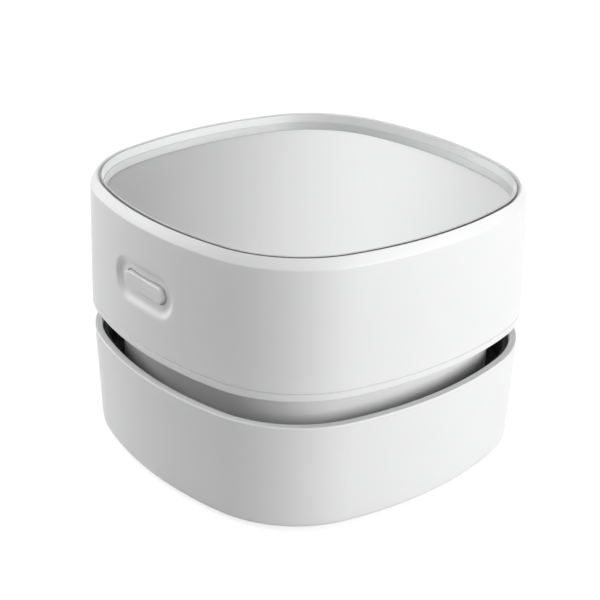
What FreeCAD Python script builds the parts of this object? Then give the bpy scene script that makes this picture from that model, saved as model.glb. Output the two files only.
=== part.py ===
import FreeCAD, Part
import math
import os

from FreeCAD import Vector

# Desktop mini vacuum cleaner, in millimetres. +Z up, origin on the table under the middle of the case.
# The front, with the power button, faces -Y; the charging socket is at the back.
# Plan sizes called "half" are half widths across the flats of the rounded square outline.

# ---- outline of the case: four shallow side arcs joined by four corner arcs ----
case_half = 43.0              # at the bottom edge of the motor head, the widest place
side_radius = 83.0            # of the side arcs at case_half
corner_radius = 26.5          # of the corner arcs at case_half

# ---- heights ----
foot_height = 0.8             # glide feet below the dust bowl
bowl_height = 23.6
exhaust_gap = 5.7             # open slot between bowl rim and motor head
cover_edge = 1.8              # thickness of the lower cover, seen as a strip under the seam
shell_height = 27.2

# ---- upper shell ----
shell_draft = 0.75            # inwards, from the bottom edge to the bevel
shell_wall = 1.75
bevel_width = 1.95
bevel_height = 2.0
bevel_round = 0.7
lip_edge = 0.35               # chamfer round the shell's opening for the tray
seam_groove = 0.15            # half height of the line between shell and lower cover
seam_depth = 0.4
ledge_width = 1.2
ledge_thickness = 1.5

# ---- top tray and silver plate ----
tray_depth = 3.8              # from the case's top edge down to the plate
tray_band = 2.0               # height of the sloping upper band of the tray wall
tray_wall = 0.5
tray_slope = 0.15
tray_step = 0.15
tray_floor = 1.2
tray_floor_lap = 3.0  # how far the tray floor runs in under its wall
tray_gap = 0.32               # between shell and tray, filled by the trim ring
trim_height = 1.6
trim_gap = 0.02
trim_edge = 0.1               # fall of the trim's top towards the shell
tray_lip_drop = 0.1
web_thickness = 1.2
web_length = 7.0
web_height = 5.0
plate_thickness = 0.6
plate_flat = 8.0  # width of the plate's outer band
plate_gap = 0.1
post_radius = 2.4
post_step = 1.2               # of the case posts outside the neck's corners, along X and along Y
post_clear = 0.3
boss_rise = 1.4

# ---- power button ----
button_height = 44.5
dish_length = 20.8
dish_width = 10.2
dish_depth = 0.95
dish_slope = 1.0
button_length = 13.6
button_width = 3.5
button_sink = 0.4             # of the button's face inside the wall's own face
button_gap = 0.35
button_travel = 0.9
button_round = 0.3
flange_margin = 1.7
flange_thickness = 1.0
pad_margin = 2.2
pad_thickness = 1.1
stem_radius = 1.5

# ---- lower cover and neck ----
waist_depth = 6.5             # from the case's bottom edge in to the neck
neck_wall = 1.6
neck_cove = 0.9
cover_round = 0.45
skirt_inset = 0.8             # of the skirt inside the neck's outside
skirt_wall = 1.4
skirt_length = 3.6            # below the shoulder that stands on the liner
vent_height = 2.0
vent_rise = 0.4               # of the vent sills above the shoulder
vent_width = 5.2
vent_pitch = 6.8
vents_per_side = 5
rib_height = 1.2              # of the locating rib above the seam
rib_thickness = 0.7
rib_root = 0.4                # of the rib inside the cover's wall
shelf_width = 2.4
shelf_thickness = 1.4
tower_inset = 2.5             # of the fan chamber towers inside the skirt's corners, along X and along Y
tower_radius = 4.3

# ---- fan chamber ----
chamber_height = 9.4          # from fan cover to chassis
fan_cover_drop = 0.6          # below the neck's shoulder
fan_cover_thickness = 1.4
fan_cover_gap = 0.2
eye_radius = 10.0
eye_lip_width = 1.2
eye_lip_height = 0.7
eye_hoop_share = 0.55  # of the eye's radius
eye_rib = 1.3
collar_wall = 1.4
collar_height = 2.3
impeller_radius = 25.0
impeller_height = 6.2
impeller_top_gap = 2.0
backplate_thickness = 1.0
hub_radius = 4.0
blade_count = 9
blade_thickness = 0.9
blade_inner = 8.0
blade_bend = 17.0             # radius of each blade's arc
blade_inset = 0.5             # of the blade tips inside the backplate's edge

# ---- motor ----
shaft_radius = 1.0
can_radius = 12.2
can_length = 20.0
can_wall = 0.9
motor_boss_radius = 3.0
motor_boss_height = 1.0
end_cap_thickness = 2.0
magnet_thickness = 2.0
rotor_gap = 0.4
rotor_length = 11.0
rotor_slots = 5
commutator_radius = 3.4
commutator_length = 3.0
sleeve_thickness = 1.9
sleeve_length = 14.4
terminal_spacing = 16.0
motor_screw_spacing = 16.0
shaft_room = 0.7              # round the shaft, filled by the bush
end_cap_drop = 1.5            # of the end cap inside the can
magnet_lift = 1.2             # above the can's floor
rotor_lift = 1.7
pole_gap = 6.4                # between the two magnets
slot_radius_share = 0.2       # of the rotor's radius
slot_place_share = 0.72
slot_mouth = 1.0
commutator_bars = 3
bar_gap = 0.4

# ---- chassis ----
chassis_wall = 1.2
chassis_floor_lap = 8.0
chassis_floor = 1.4
chassis_gap = 0.2
cup_height = 12.0
flange_inset = 0.9

# ---- battery ----
cell_radius = 5.1
cell_length = 44.0
nub_height = 0.9
cell_gap = 0.4                # to the motor cup
cell_lift = 1.6               # above the chassis floor
saddle_thickness = 2.4
saddle_spread = 28.0
tab_thickness = 0.3
tab_width = 5.0

# ---- main board and charging socket ----
board_length = 42.0
board_depth = 17.6
board_thickness = 1.0
board_height = 43.0
board_back_gap = 3.4          # from the board's back edge to the shell's inside
board_tongue = 2.2            # of the board under the socket
board_tongue_length = 13.0
board_post_radius = 2.2
board_post_inset = 4.0
chip_length = 5.0
chip_depth = 4.0
chip_height = 1.2
coil_side = 5.0
coil_height = 2.6
capacitor_length = 3.2
capacitor_depth = 2.5
capacitor_height = 1.8
diode_length = 4.0
diode_depth = 2.0
diode_height = 1.1
resistor_count = 4
resistor_pitch = 1.8
resistor_length = 1.0
resistor_depth = 1.6
resistor_height = 0.5
lamp_side = 1.6
parts_pitch = 4.0             # between the rows of parts, from the board's front edge
coil_place = 7.0              # from the middle plane to the coil
diode_place = 12.0            # from the middle plane to the far edge of diode and capacitor
socket_length = 8.9
socket_width = 3.3
socket_depth = 7.4
socket_wall = 0.3
socket_gap = 0.25
tongue_length = 6.6
tongue_thickness = 0.7
lens_radius = 1.0
lens_collar = 0.7
lens_place = 10.0
lens_overlap = 0.2            # of the light pipe's start over the board's back edge

# ---- switch ----
switch_side = 6.0
switch_depth = 4.0
switch_board_length = 22.0
switch_board_height = 15.0
switch_board_thickness = 1.2
plunger_radius = 1.2
plunger_length = 1.6          # inside the switch
plunger_gap = 0.9             # length of the button's stem behind its flange
switch_gap = 0.15             # round the plunger, and before the switch at full travel
guide_width = 3.2
guide_wall = 1.1

# ---- filter ----
filter_margin = 3.4           # of the filter inside the skirt
filter_wall = 1.9
filter_height = 4.8
filter_grid = 0.8
filter_spokes = 8
hub_hoop_share = 0.55  # of the frame's inner radius
filter_clear = 0.05  # under the fan cover
grip_count = 24
grip_width = 1.4
grip_proud = 0.5
spoke_width = 1.2
media_thickness = 1.3
gasket_thickness = 0.45
lug_angle = 14.0
lug_thickness = 0.8
lug_count = 3
lug_reach = 0.8
lug_gap = 0.3
stop_angle = 3.0              # bayonet end stops
stop_slack = 0.6

# ---- dust bowl ----
rim_inset = 0.2               # of the bowl's rim inside case_half
bowl_draft = 0.8              # inwards, from the rim to the foot
rim_wall = 1.65
rim_round = 0.3
rim_inner_round = 0.2
bowl_corner_round = 0.8
floor_lap = 1.5  # how far the bowl floor runs past the suction plate's edge
bowl_wall = 2.4               # below the liner's step
bowl_floor = 1.4
bowl_round = 1.3
hole_radius = 27.0            # through the bowl's floor, over the suction plate
land_width = 9.6
base_screw_radius = 31.0
base_boss_radius = 2.75
base_boss_height = 3.5

# ---- liner of the bowl ----
liner_wall = 1.0
liner_corner_round = 1.2
liner_collar_round = 0.25
liner_deck = 1.4
liner_top_drop = 1.2          # below the bowl's rim
liner_gap = 0.1
collar_fit = 0.3              # round the skirt
liner_collar_wall = 1.2
moat_depth = 8.4              # from the bowl's rim to the liner's deck
seal_height = 1.6
seal_seat = 0.6  # depth of the groove that holds the seal
seal_round = 0.2
seal_lip = 0.5
seal_shoulder = 0.1
seal_proud = 0.22

# ---- suction plate, bristles and feet ----
suction_radius = 35.0
suction_thickness = 1.25
mouth_radius = 10.0
mouth_flare = 1.4
mouth_flare_height = 0.8
chimney_wall = 1.5
chimney_height = 4.0
tuft_radius = 0.75
inner_row_radius = 17.0
inner_row_count = 24
outer_row_radius = 22.0
outer_row_count = 32
tuft_hole = 0.9
tuft_clear = 0.1              # of the bristle tips above the table
foot_radius = 2.6
foot_seat = 0.6
foot_gap = 1.0                # between a foot and the suction plate
foot_pad_wall = 1.2

# ---- screws and fits ----
screw_radius = 1.0
shank_share = 0.8  # root radius over thread radius
head_round_share = 0.35
cross_depth_share = 0.55
cross_reach_share = 0.6
cross_width_share = 0.14
pilot_floor = 0.6  # plastic left over a blind pilot hole
pilot_radius = 0.85
screw_clear = 1.2
head_radius = 1.6
head_height = 1.2
screw_bite = 5.0
fit = 0.05
lead_radius = 0.6
lead_bend_share = 0.45  # of the shorter run beside a bend
lead_volume_margin = 0.02
tab_rise = 3.6                # battery tabs above the cell's axis
terminal_rise = 0.9           # motor terminals above the end cap

# ---- levels worked out from the sizes ----
bowl_base = foot_height
rim_level = bowl_base + bowl_height
cover_level = rim_level + exhaust_gap
seam_level = cover_level + cover_edge
top_level = seam_level + shell_height
bevel_level = top_level - bevel_height
plate_level = top_level - tray_depth
tray_base = plate_level - plate_thickness - tray_floor
deck_level = rim_level - moat_depth
fan_cover_top = deck_level - fan_cover_drop
chassis_level = fan_cover_top + chamber_height
skirt_base = deck_level - skirt_length
motor_level = chassis_level + chassis_floor
flange_top = seam_level + chassis_wall
boss_level = seam_level + boss_rise
fan_cover_base = fan_cover_top - fan_cover_thickness
collar_base = fan_cover_base - collar_height
impeller_top = chassis_level - impeller_top_gap
impeller_base = impeller_top - impeller_height
suction_top = bowl_base + suction_thickness
land_level = suction_top + fit

shell_top_half = case_half - shell_draft
neck_half = case_half - waist_depth
skirt_half = neck_half - skirt_inset
rim_half = case_half - rim_inset
bowl_foot_half = rim_half - bowl_draft
filter_radius = skirt_half - skirt_wall - filter_margin
collar_radius = filter_radius - filter_wall - lug_reach - lug_gap
foot_place = (suction_radius + foot_gap + foot_radius) / math.sqrt(2)

# ---- the outline family ----
SIDE_REACH = side_radius - case_half          # side arc centres lie this far past the middle
CORNER_REACH = case_half - corner_radius
RADIUS_STEP = side_radius - corner_radius
CORNER_CENTRE = (math.sqrt(2 * RADIUS_STEP ** 2 - SIDE_REACH ** 2) - SIDE_REACH) / 2
SIDE_ANGLE = math.degrees(math.atan2(CORNER_CENTRE, CORNER_CENTRE + SIDE_REACH))
ORIGIN = Vector(0, 0, 0)
UP = Vector(0, 0, 1)
QUARTERS = (0, 90, 180, 270)
DIAGONALS = ((1, 1), (-1, 1), (-1, -1), (1, -1))


def corner_point(half):
    """X, and Y too, of the middle of a corner arc."""
    return CORNER_CENTRE + (half - CORNER_REACH) / math.sqrt(2)


post_place = corner_point(neck_half) + post_step
tower_place = corner_point(skirt_half - skirt_wall) - tower_inset


def turned(shape, angle):
    """A copy of the shape, turned about the vertical axis."""
    copy = shape.copy()
    copy.rotate(ORIGIN, UP, angle)
    return copy


def joined(shapes):
    """All the shapes as one clean solid."""
    return shapes[0].multiFuse(shapes[1:]).removeSplitter()


def without(shape, tools):
    """The shape with every tool cut away."""
    return shape.cut(tools[0].multiFuse(tools[1:])) if len(tools) > 1 else shape.cut(tools[0])


def cylinder(radius, low, high, x=0.0, y=0.0):
    return Part.makeCylinder(radius, high - low, Vector(x, y, low))


def tube(outer, inner, low, high, x=0.0, y=0.0):
    return cylinder(outer, low, high, x, y).cut(cylinder(inner, low - 1, high + 1, x, y))


def barrel(radius, y_low, y_high, x, level):
    """A cylinder lying along Y."""
    return Part.makeCylinder(radius, y_high - y_low, Vector(x, y_low, level), Vector(0, 1, 0))


def block(x_low, x_high, y_low, y_high, z_low, z_high):
    return Part.makeBox(x_high - x_low, y_high - y_low, z_high - z_low, Vector(x_low, y_low, z_low))


def outline_face(half, level):
    """The rounded square of a given half width, flat at a level."""
    edges = []
    for turn in QUARTERS:
        side = Part.Circle(Vector(-SIDE_REACH, 0, level), UP, half + SIDE_REACH)
        corner = Part.Circle(Vector(CORNER_CENTRE, CORNER_CENTRE, level), UP, half - CORNER_REACH)
        for circle, start, end in ((side, -SIDE_ANGLE, SIDE_ANGLE), (corner, SIDE_ANGLE, 90 - SIDE_ANGLE)):
            edge = Part.Arc(circle, math.radians(start), math.radians(end)).toShape()
            edges.append(turned(edge, turn))
    return Part.Face(Part.Wire(Part.__sortEdges__(edges)))


def slab(half, low, high):
    """A flat plate with the rounded square outline."""
    return outline_face(half, low).extrude(Vector(0, 0, high - low))


def profile_face(points, shift):
    """A closed section in the XZ plane. A point is (half, level) or (half, level, rounding)."""
    count = len(points)
    starts, ends, arcs = [], [], []
    for i in range(count):
        here = Vector(points[i][0] + shift, 0, points[i][1])
        radius = points[i][2] if len(points[i]) > 2 else 0
        if not radius:
            starts.append(here)
            ends.append(here)
            arcs.append(None)
            continue
        before = Vector(points[i - 1][0] + shift, 0, points[i - 1][1]) - here
        after = Vector(points[(i + 1) % count][0] + shift, 0, points[(i + 1) % count][1]) - here
        half_turn = before.getAngle(after) / 2
        reach = radius / math.tan(half_turn)
        before.normalize()
        after.normalize()
        middle = before + after
        middle.normalize()
        first = here + before * reach
        last = here + after * reach
        through = here + middle * (radius / math.sin(half_turn) - radius)
        starts.append(first)
        ends.append(last)
        arcs.append(Part.Arc(first, through, last).toShape())
    edges = []
    for i in range(count):
        if arcs[i]:
            edges.append(arcs[i])
        following = starts[(i + 1) % count]
        if (following - ends[i]).Length > 1e-6:
            edges.append(Part.makeLine(ends[i], following))
    return Part.Face(Part.Wire(edges))


def ring(points):
    """A section carried once round the rounded square outline."""
    pieces = []
    spans = (
        (Vector(-SIDE_REACH, 0, 0), SIDE_REACH, -SIDE_ANGLE, 2 * SIDE_ANGLE),
        (Vector(CORNER_CENTRE, CORNER_CENTRE, 0), -CORNER_REACH, SIDE_ANGLE, 90 - 2 * SIDE_ANGLE),
    )
    for centre, shift, start, sweep in spans:
        section = turned(profile_face(points, shift), start)
        piece = section.revolve(ORIGIN, UP, sweep)
        piece.translate(centre)
        pieces += [turned(piece, turn) for turn in QUARTERS]
    return joined(pieces)


def stadium(length, width, y_from, y_to, middle, grow=0.0):
    """An upright pill shape facing -Y; grow widens it all round towards y_to's end."""
    wires = []
    for y, extra in ((y_from, 0.0), (y_to, grow)):
        radius = width / 2 + extra
        straight = (length - width) / 2
        corners = [Vector(-straight, y, middle + radius), Vector(straight, y, middle + radius),
                   Vector(straight, y, middle - radius), Vector(-straight, y, middle - radius)]
        right = Vector(straight + radius, y, middle)
        left = Vector(-straight - radius, y, middle)
        wires.append(Part.Wire([
            Part.makeLine(corners[0], corners[1]),
            Part.Arc(corners[1], right, corners[2]).toShape(),
            Part.makeLine(corners[2], corners[3]),
            Part.Arc(corners[3], left, corners[0]).toShape()]))
    return Part.makeLoft(wires, True, True)


def polar(radius, angle):
    return radius * math.cos(math.radians(angle)), radius * math.sin(math.radians(angle))


def case_half_at(level):
    """Half width of the motor head's outside at a level."""
    share = (level - cover_level) / (bevel_level - cover_level)
    return case_half + (shell_top_half - case_half) * share


def shell_inside_at(level):
    return case_half_at(level) - shell_wall


def wall_place(half, along):
    """Distance from the middle plane to a side arc, at a place along that side."""
    return math.sqrt((half + SIDE_REACH) ** 2 - along ** 2) - SIDE_REACH


def bowl_half_at(level):
    share = (level - bowl_base) / bowl_height
    return bowl_foot_half + (rim_half - bowl_foot_half) * share


def pan_screw(x, y, seat, length, down):
    """A pan head screw whose head stands on seat; down is -1 when the shank points down."""
    shank_low, shank_high = sorted((seat, seat + down * length))
    head_low, head_high = sorted((seat, seat - down * head_height))
    shank = cylinder(screw_radius * shank_share, shank_low, shank_high, x, y)
    head = cylinder(head_radius, head_low, head_high, x, y)
    far = head_high if down < 0 else head_low
    edges = [e for e in head.Edges if abs(e.BoundBox.ZMin - far) < 1e-6 and abs(e.BoundBox.ZMax - far) < 1e-6]
    head = head.makeFillet(head_height * head_round_share, edges)
    cross_low, cross_high = sorted((far, far + down * head_height * cross_depth_share))
    arm, slot = head_radius * cross_reach_share, head_radius * cross_width_share
    cross = block(x - arm, x + arm, y - slot, y + slot, cross_low, cross_high).fuse(
        block(x - slot, x + slot, y - arm, y + arm, cross_low, cross_high))
    return head.fuse(shank).cut(cross)


def lead(points):
    """A round wire along straight runs joined by tangent arcs."""
    corners = [Vector(*p) for p in points]
    edges = []
    last = corners[0]
    for before, here, after in zip(corners, corners[1:], corners[2:]):
        back, ahead = before - here, after - here
        reach = lead_bend_share * min(back.Length, ahead.Length)
        half_turn = back.getAngle(ahead) / 2
        bend = reach * math.tan(half_turn)
        back.normalize()
        ahead.normalize()
        middle = back + ahead
        middle.normalize()
        first, final = here + back * reach, here + ahead * reach
        through = here + middle * (bend / math.sin(half_turn) - bend)
        edges.append(Part.makeLine(last, first))
        edges.append(Part.Arc(first, through, final).toShape())
        last = final
    edges.append(Part.makeLine(last, corners[-1]))
    path = Part.Wire(edges)
    start = Part.Wire(Part.Circle(corners[0], corners[1] - corners[0], lead_radius).toShape())
    solid = path.makePipeShell([start], True, False)
    wanted = path.Length * math.pi * lead_radius ** 2
    if abs(solid.Volume / wanted - 1) > lead_volume_margin:
        raise ValueError("a lead's volume is not its section times its length")
    return solid


# ---------------------------------------------------------------- dust cup

def make_dust_bowl():
    step_half = bowl_half_at(deck_level) - bowl_wall
    floor_top = bowl_base + bowl_floor
    land_top = land_level + bowl_floor
    boss_top = land_level + base_boss_height
    step_level = deck_level - liner_deck
    wall = ring([
        (bowl_foot_half, bowl_base, bowl_round),
        (rim_half, rim_level, rim_round),
        (rim_half - rim_wall, rim_level, rim_inner_round),
        (bowl_half_at(step_level) - rim_wall, step_level),
        (bowl_half_at(step_level) - bowl_wall, step_level),
        (bowl_foot_half - bowl_wall, floor_top, bowl_corner_round),
        (suction_radius + fit, floor_top),
        (suction_radius + fit, bowl_base),
    ])
    floor = slab(suction_radius + floor_lap, bowl_base, floor_top)
    land = cylinder(hole_radius + land_width, land_level, land_top)
    bosses = []
    pilots = []
    for angle in QUARTERS:
        x, y = polar(base_screw_radius, angle)
        bosses.append(cylinder(base_boss_radius, land_level, boss_top, x, y))
        pilots.append(cylinder(pilot_radius, bowl_base, boss_top - pilot_floor, x, y))
    seats = []
    foot_pads = []
    for sx, sy in DIAGONALS:
        x, y = sx * foot_place, sy * foot_place
        seats.append(cylinder(foot_radius + fit, bowl_base - 1, bowl_base + foot_seat, x, y))
        foot_pads.append(cylinder(foot_radius + foot_pad_wall, bowl_base, floor_top + foot_seat, x, y))
    rebate = cylinder(suction_radius + fit, bowl_base - 1, land_level)
    hole = cylinder(hole_radius, bowl_base - 1, land_top + 1)
    solid = joined([wall, floor, land] + bosses + foot_pads)
    return without(solid, [rebate, hole] + pilots + seats)


def make_cup_liner():
    top = rim_level - liner_top_drop
    base = deck_level - liner_deck
    outside_top = bowl_half_at(top) - rim_wall - liner_gap
    outside_base = bowl_half_at(base) - rim_wall - liner_gap
    collar_in = skirt_half + collar_fit
    collar_out = collar_in + liner_collar_wall
    return ring([
        (outside_base, base),
        (outside_top, top),
        (outside_top - liner_wall, top, rim_round),
        (outside_base - liner_wall, deck_level, liner_corner_round),
        (collar_in, deck_level, liner_collar_round),
        (collar_in, skirt_base),
        (collar_out, skirt_base),
        (collar_out, base),
    ])


def tuft_places():
    """Places of the bristle tufts, in two rings round the mouth."""
    inner = [polar(inner_row_radius, 360.0 * i / inner_row_count) for i in range(inner_row_count)]
    outer = [polar(outer_row_radius, 360.0 * i / outer_row_count) for i in range(outer_row_count)]
    return inner + outer


def make_suction_plate():
    plate = cylinder(suction_radius, bowl_base, suction_top)
    chimney = cylinder(mouth_radius + chimney_wall, bowl_base, bowl_base + chimney_height)
    cuts = [cylinder(mouth_radius, bowl_base - 1, bowl_base + chimney_height + 1)]
    flare = Part.makeCone(mouth_radius + mouth_flare, mouth_radius, mouth_flare_height,
                          Vector(0, 0, bowl_base))
    cuts.append(flare)
    for x, y in tuft_places():
        cuts.append(cylinder(tuft_radius + fit, bowl_base - 1, bowl_base + tuft_hole, x, y))
    for angle in QUARTERS:
        x, y = polar(base_screw_radius, angle)
        cuts.append(cylinder(screw_clear, bowl_base - 1, suction_top + 1, x, y))
        cuts.append(Part.makeCone(head_radius + fit, screw_clear, head_radius - screw_clear,
                                  Vector(x, y, bowl_base)))
    return without(plate.fuse(chimney), cuts)


def make_bristles():
    return Part.makeCompound([cylinder(tuft_radius, tuft_clear, bowl_base + tuft_hole, x, y)
                              for x, y in tuft_places()])


def make_base_screws():
    screws = []
    taper = head_radius - screw_clear
    for angle in QUARTERS:
        x, y = polar(base_screw_radius, angle)
        shank = cylinder(screw_radius * shank_share, bowl_base + 0.1,
                         land_level + base_boss_height - 0.9, x, y)
        head = Part.makeCone(head_radius - fit, screw_clear - 2 * fit, taper, Vector(x, y, bowl_base))
        slot = block(x - head_radius * 0.6, x + head_radius * 0.6, y - 0.25, y + 0.25,
                     bowl_base, bowl_base + 0.5)
        screws.append(head.fuse(shank).cut(slot))
    return Part.makeCompound(screws)


def make_glide_feet():
    feet = []
    for sx, sy in DIAGONALS:
        foot = cylinder(foot_radius, 0, bowl_base + foot_seat, sx * foot_place, sy * foot_place)
        edges = [e for e in foot.Edges if e.BoundBox.ZMax < 1e-6]
        feet.append(foot.makeFillet(0.3, edges))
    return Part.makeCompound(feet)


# ---------------------------------------------------------------- motor head, outside

def make_upper_shell():
    tray_opening = shell_top_half - bevel_width
    ledge_half = tray_opening - ledge_width
    wall = ring([
        (case_half_at(seam_level) - seam_depth, seam_level),
        (case_half_at(seam_level), seam_level + seam_groove),
        (shell_top_half, bevel_level, bevel_round),
        (tray_opening + lip_edge, top_level, 0.15),
        (tray_opening, top_level - lip_edge),
        (tray_opening, tray_base),
        (ledge_half, tray_base),
        (ledge_half, tray_base - ledge_thickness),
        (shell_inside_at(tray_base - 2 * ledge_thickness - ledge_width),
         tray_base - 2 * ledge_thickness - ledge_width),
        (shell_inside_at(seam_level), seam_level),
    ])
    inside = shell_inside_at(button_height)
    pad = stadium(dish_length + 2 * pad_margin, dish_width + 2 * pad_margin,
                  -inside + pad_thickness, -inside - shell_wall * 0.2, button_height)
    dish = stadium(dish_length - 2 * dish_slope, dish_width - 2 * dish_slope,
                   -case_half_at(button_height) + dish_depth + 1.5, -case_half_at(button_height) - 0.5,
                   button_height, dish_slope * 1.5)
    floor_line = ring([
        (case_half_at(seam_level) - dish_depth, seam_level),
        (case_half_at(bevel_level) - dish_depth, bevel_level),
        (corner_radius + 1, bevel_level),
        (corner_radius + 1, seam_level),
    ])
    dish = dish.cut(floor_line)
    button_hole = stadium(button_length + 2 * button_gap, button_width + 2 * button_gap,
                          -inside - shell_wall - 2, -inside + pad_thickness + 1, button_height)
    back = shell_inside_at(socket_level())
    socket_hole = turned(stadium(socket_length + 2 * socket_gap, socket_width + 2 * socket_gap,
                                 -back + socket_depth, -back - shell_wall - 2, socket_level()), 180)
    lens_hole = barrel(lens_radius + fit, back - 2, back + shell_wall + 2, lens_place, socket_level())
    collar_room = barrel(lens_radius + lens_collar + fit, lens_seat() - 3, lens_seat(),
                         lens_place, socket_level())
    notches = [cylinder(post_radius + post_clear, boss_level, tray_base, sx * post_place, sy * post_place)
               for sx, sy in DIAGONALS]
    solid = wall.fuse(pad).removeSplitter().cut(dish).cut(button_hole)
    return without(solid, [socket_hole, lens_hole, collar_room] + notches)


def make_top_tray():
    outside = shell_top_half - bevel_width - tray_gap
    band_level = top_level - tray_band
    inside_top = outside - tray_wall + tray_slope
    inside_line = inside_top - tray_slope
    wall = ring([
        (outside, tray_base),
        (outside, top_level - tray_lip_drop, 0.12),
        (inside_top, top_level - tray_lip_drop, 0.12),
        (inside_line, band_level),
        (inside_line - tray_step, band_level),
        (inside_line - tray_step, plate_level - plate_thickness),
        (inside_line - tray_floor_lap, plate_level - plate_thickness),
        (inside_line - tray_floor_lap, tray_base),
    ])
    floor = slab(inside_line - tray_floor_lap + 1, tray_base, plate_level - plate_thickness)
    posts = [cylinder(post_radius, boss_level, tray_base, sx * post_place, sy * post_place)
             for sx, sy in DIAGONALS]
    webs = []
    for sx, sy in DIAGONALS:
        near, far = sorted((sy * post_place, sy * (post_place - web_length)))
        webs.append(block(sx * post_place - web_thickness / 2, sx * post_place + web_thickness / 2,
                          near, far, tray_base - web_height, tray_base + tray_floor / 2))
    pilots = [cylinder(pilot_radius, boss_level - 1, boss_level + screw_bite + 1.5,
                       sx * post_place, sy * post_place) for sx, sy in DIAGONALS]
    return without(joined([wall, floor] + posts + webs), pilots)


def make_tray_trim():
    inner = shell_top_half - bevel_width - tray_gap + trim_gap
    outer = shell_top_half - bevel_width - trim_gap
    top = top_level - tray_lip_drop
    return ring([
        (inner, top - trim_height),
        (inner, top),
        (outer, top - trim_edge),
        (outer, top - trim_height),
    ])


def make_top_plate():
    outside = shell_top_half - bevel_width - tray_gap - tray_wall - tray_step - plate_gap
    return ring([
        (outside, plate_level - plate_thickness),
        (outside, plate_level, 0.15),
        (outside - plate_flat, plate_level),
        (outside - plate_flat, plate_level - plate_thickness),
    ]).fuse(slab(outside - plate_flat + 1, plate_level - plate_thickness, plate_level)).removeSplitter()


def make_lower_cover():
    chamber_half = skirt_half - skirt_wall
    neck_in = neck_half - neck_wall
    body = ring([
        (case_half_at(seam_level) - seam_depth, seam_level),
        (case_half_at(seam_level), seam_level - seam_groove),
        (case_half, cover_level, cover_round),
        (neck_half, cover_level, neck_cove),
        (neck_half, deck_level, 0.2),
        (skirt_half, deck_level),
        (skirt_half, skirt_base),
        (chamber_half, skirt_base),
        (chamber_half, deck_level + 0.4),
        (neck_in, deck_level + 0.4 + neck_in - chamber_half),
        (neck_in, chassis_level - shelf_thickness),
        (neck_in - shelf_width, chassis_level - shelf_thickness),
        (neck_in - shelf_width, chassis_level),
        (neck_in, chassis_level),
        (neck_in, seam_level),
    ])
    rib_half = shell_inside_at(seam_level) - fit
    rib = ring([
        (rib_half, seam_level - rib_root),
        (rib_half, seam_level + rib_height, 0.3),
        (rib_half - rib_thickness, seam_level + rib_height),
        (rib_half - rib_thickness, seam_level - rib_root),
    ])
    keep = slab(skirt_half - 0.3, fan_cover_top, chassis_level)
    towers = []
    bosses = []
    cuts = []
    for sx, sy in DIAGONALS:
        x, y = sx * tower_place, sy * tower_place
        towers.append(cylinder(tower_radius, fan_cover_top, chassis_level, x, y).common(keep))
        cuts.append(cylinder(pilot_radius, fan_cover_top - 1, fan_cover_top + screw_bite - 0.7, x, y))
        cuts.append(cylinder(pilot_radius, chassis_level - screw_bite + 0.7, chassis_level + 1, x, y))
        x, y = sx * post_place, sy * post_place
        bosses.append(cylinder(post_radius + 0.3, cover_level + 0.2, boss_level, x, y))
        cuts.append(cylinder(screw_clear, cover_level - 1, boss_level + 1, x, y))
        cuts.append(cylinder(head_radius + 0.2, cover_level - 1, cover_level + head_height + 0.1, x, y))
    sill = deck_level + vent_rise
    first = -(vents_per_side - 1) / 2 * vent_pitch
    for i in range(vents_per_side):
        middle = first + i * vent_pitch
        for low, high in ((neck_in - 2.5, neck_half + 1), (-neck_half - 1, -neck_in + 2.5)):
            cuts.append(block(middle - vent_width / 2, middle + vent_width / 2, low, high,
                              sill, sill + vent_height))
            cuts.append(block(low, high, middle - vent_width / 2, middle + vent_width / 2,
                              sill, sill + vent_height))
    groove_level = (deck_level + skirt_base) / 2
    groove = ring([
        (skirt_half + 1, groove_level - seal_height / 2),
        (skirt_half + 1, groove_level + seal_height / 2),
        (skirt_half - seal_seat, groove_level + seal_height / 2),
        (skirt_half - seal_seat, groove_level - seal_height / 2),
    ])
    cuts.append(groove)
    return without(joined([body, rib] + towers + bosses), cuts)


def make_neck_seal():
    level = (deck_level + skirt_base) / 2
    half_height = seal_height / 2 - fit
    return ring([
        (skirt_half - seal_seat + fit, level - half_height),
        (skirt_half - seal_shoulder, level - half_height, seal_round),
        (skirt_half + seal_proud, level - seal_lip / 2, seal_round),
        (skirt_half + seal_proud, level + seal_lip / 2, seal_round),
        (skirt_half - seal_shoulder, level + half_height, seal_round),
        (skirt_half - seal_seat + fit, level + half_height),
    ])


def make_case_screws():
    seat = cover_level + head_height + 0.1
    return Part.makeCompound([pan_screw(sx * post_place, sy * post_place, seat,
                                        boss_level - seat + screw_bite, 1) for sx, sy in DIAGONALS])


# ---------------------------------------------------------------- motor head, fan chamber

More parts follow.
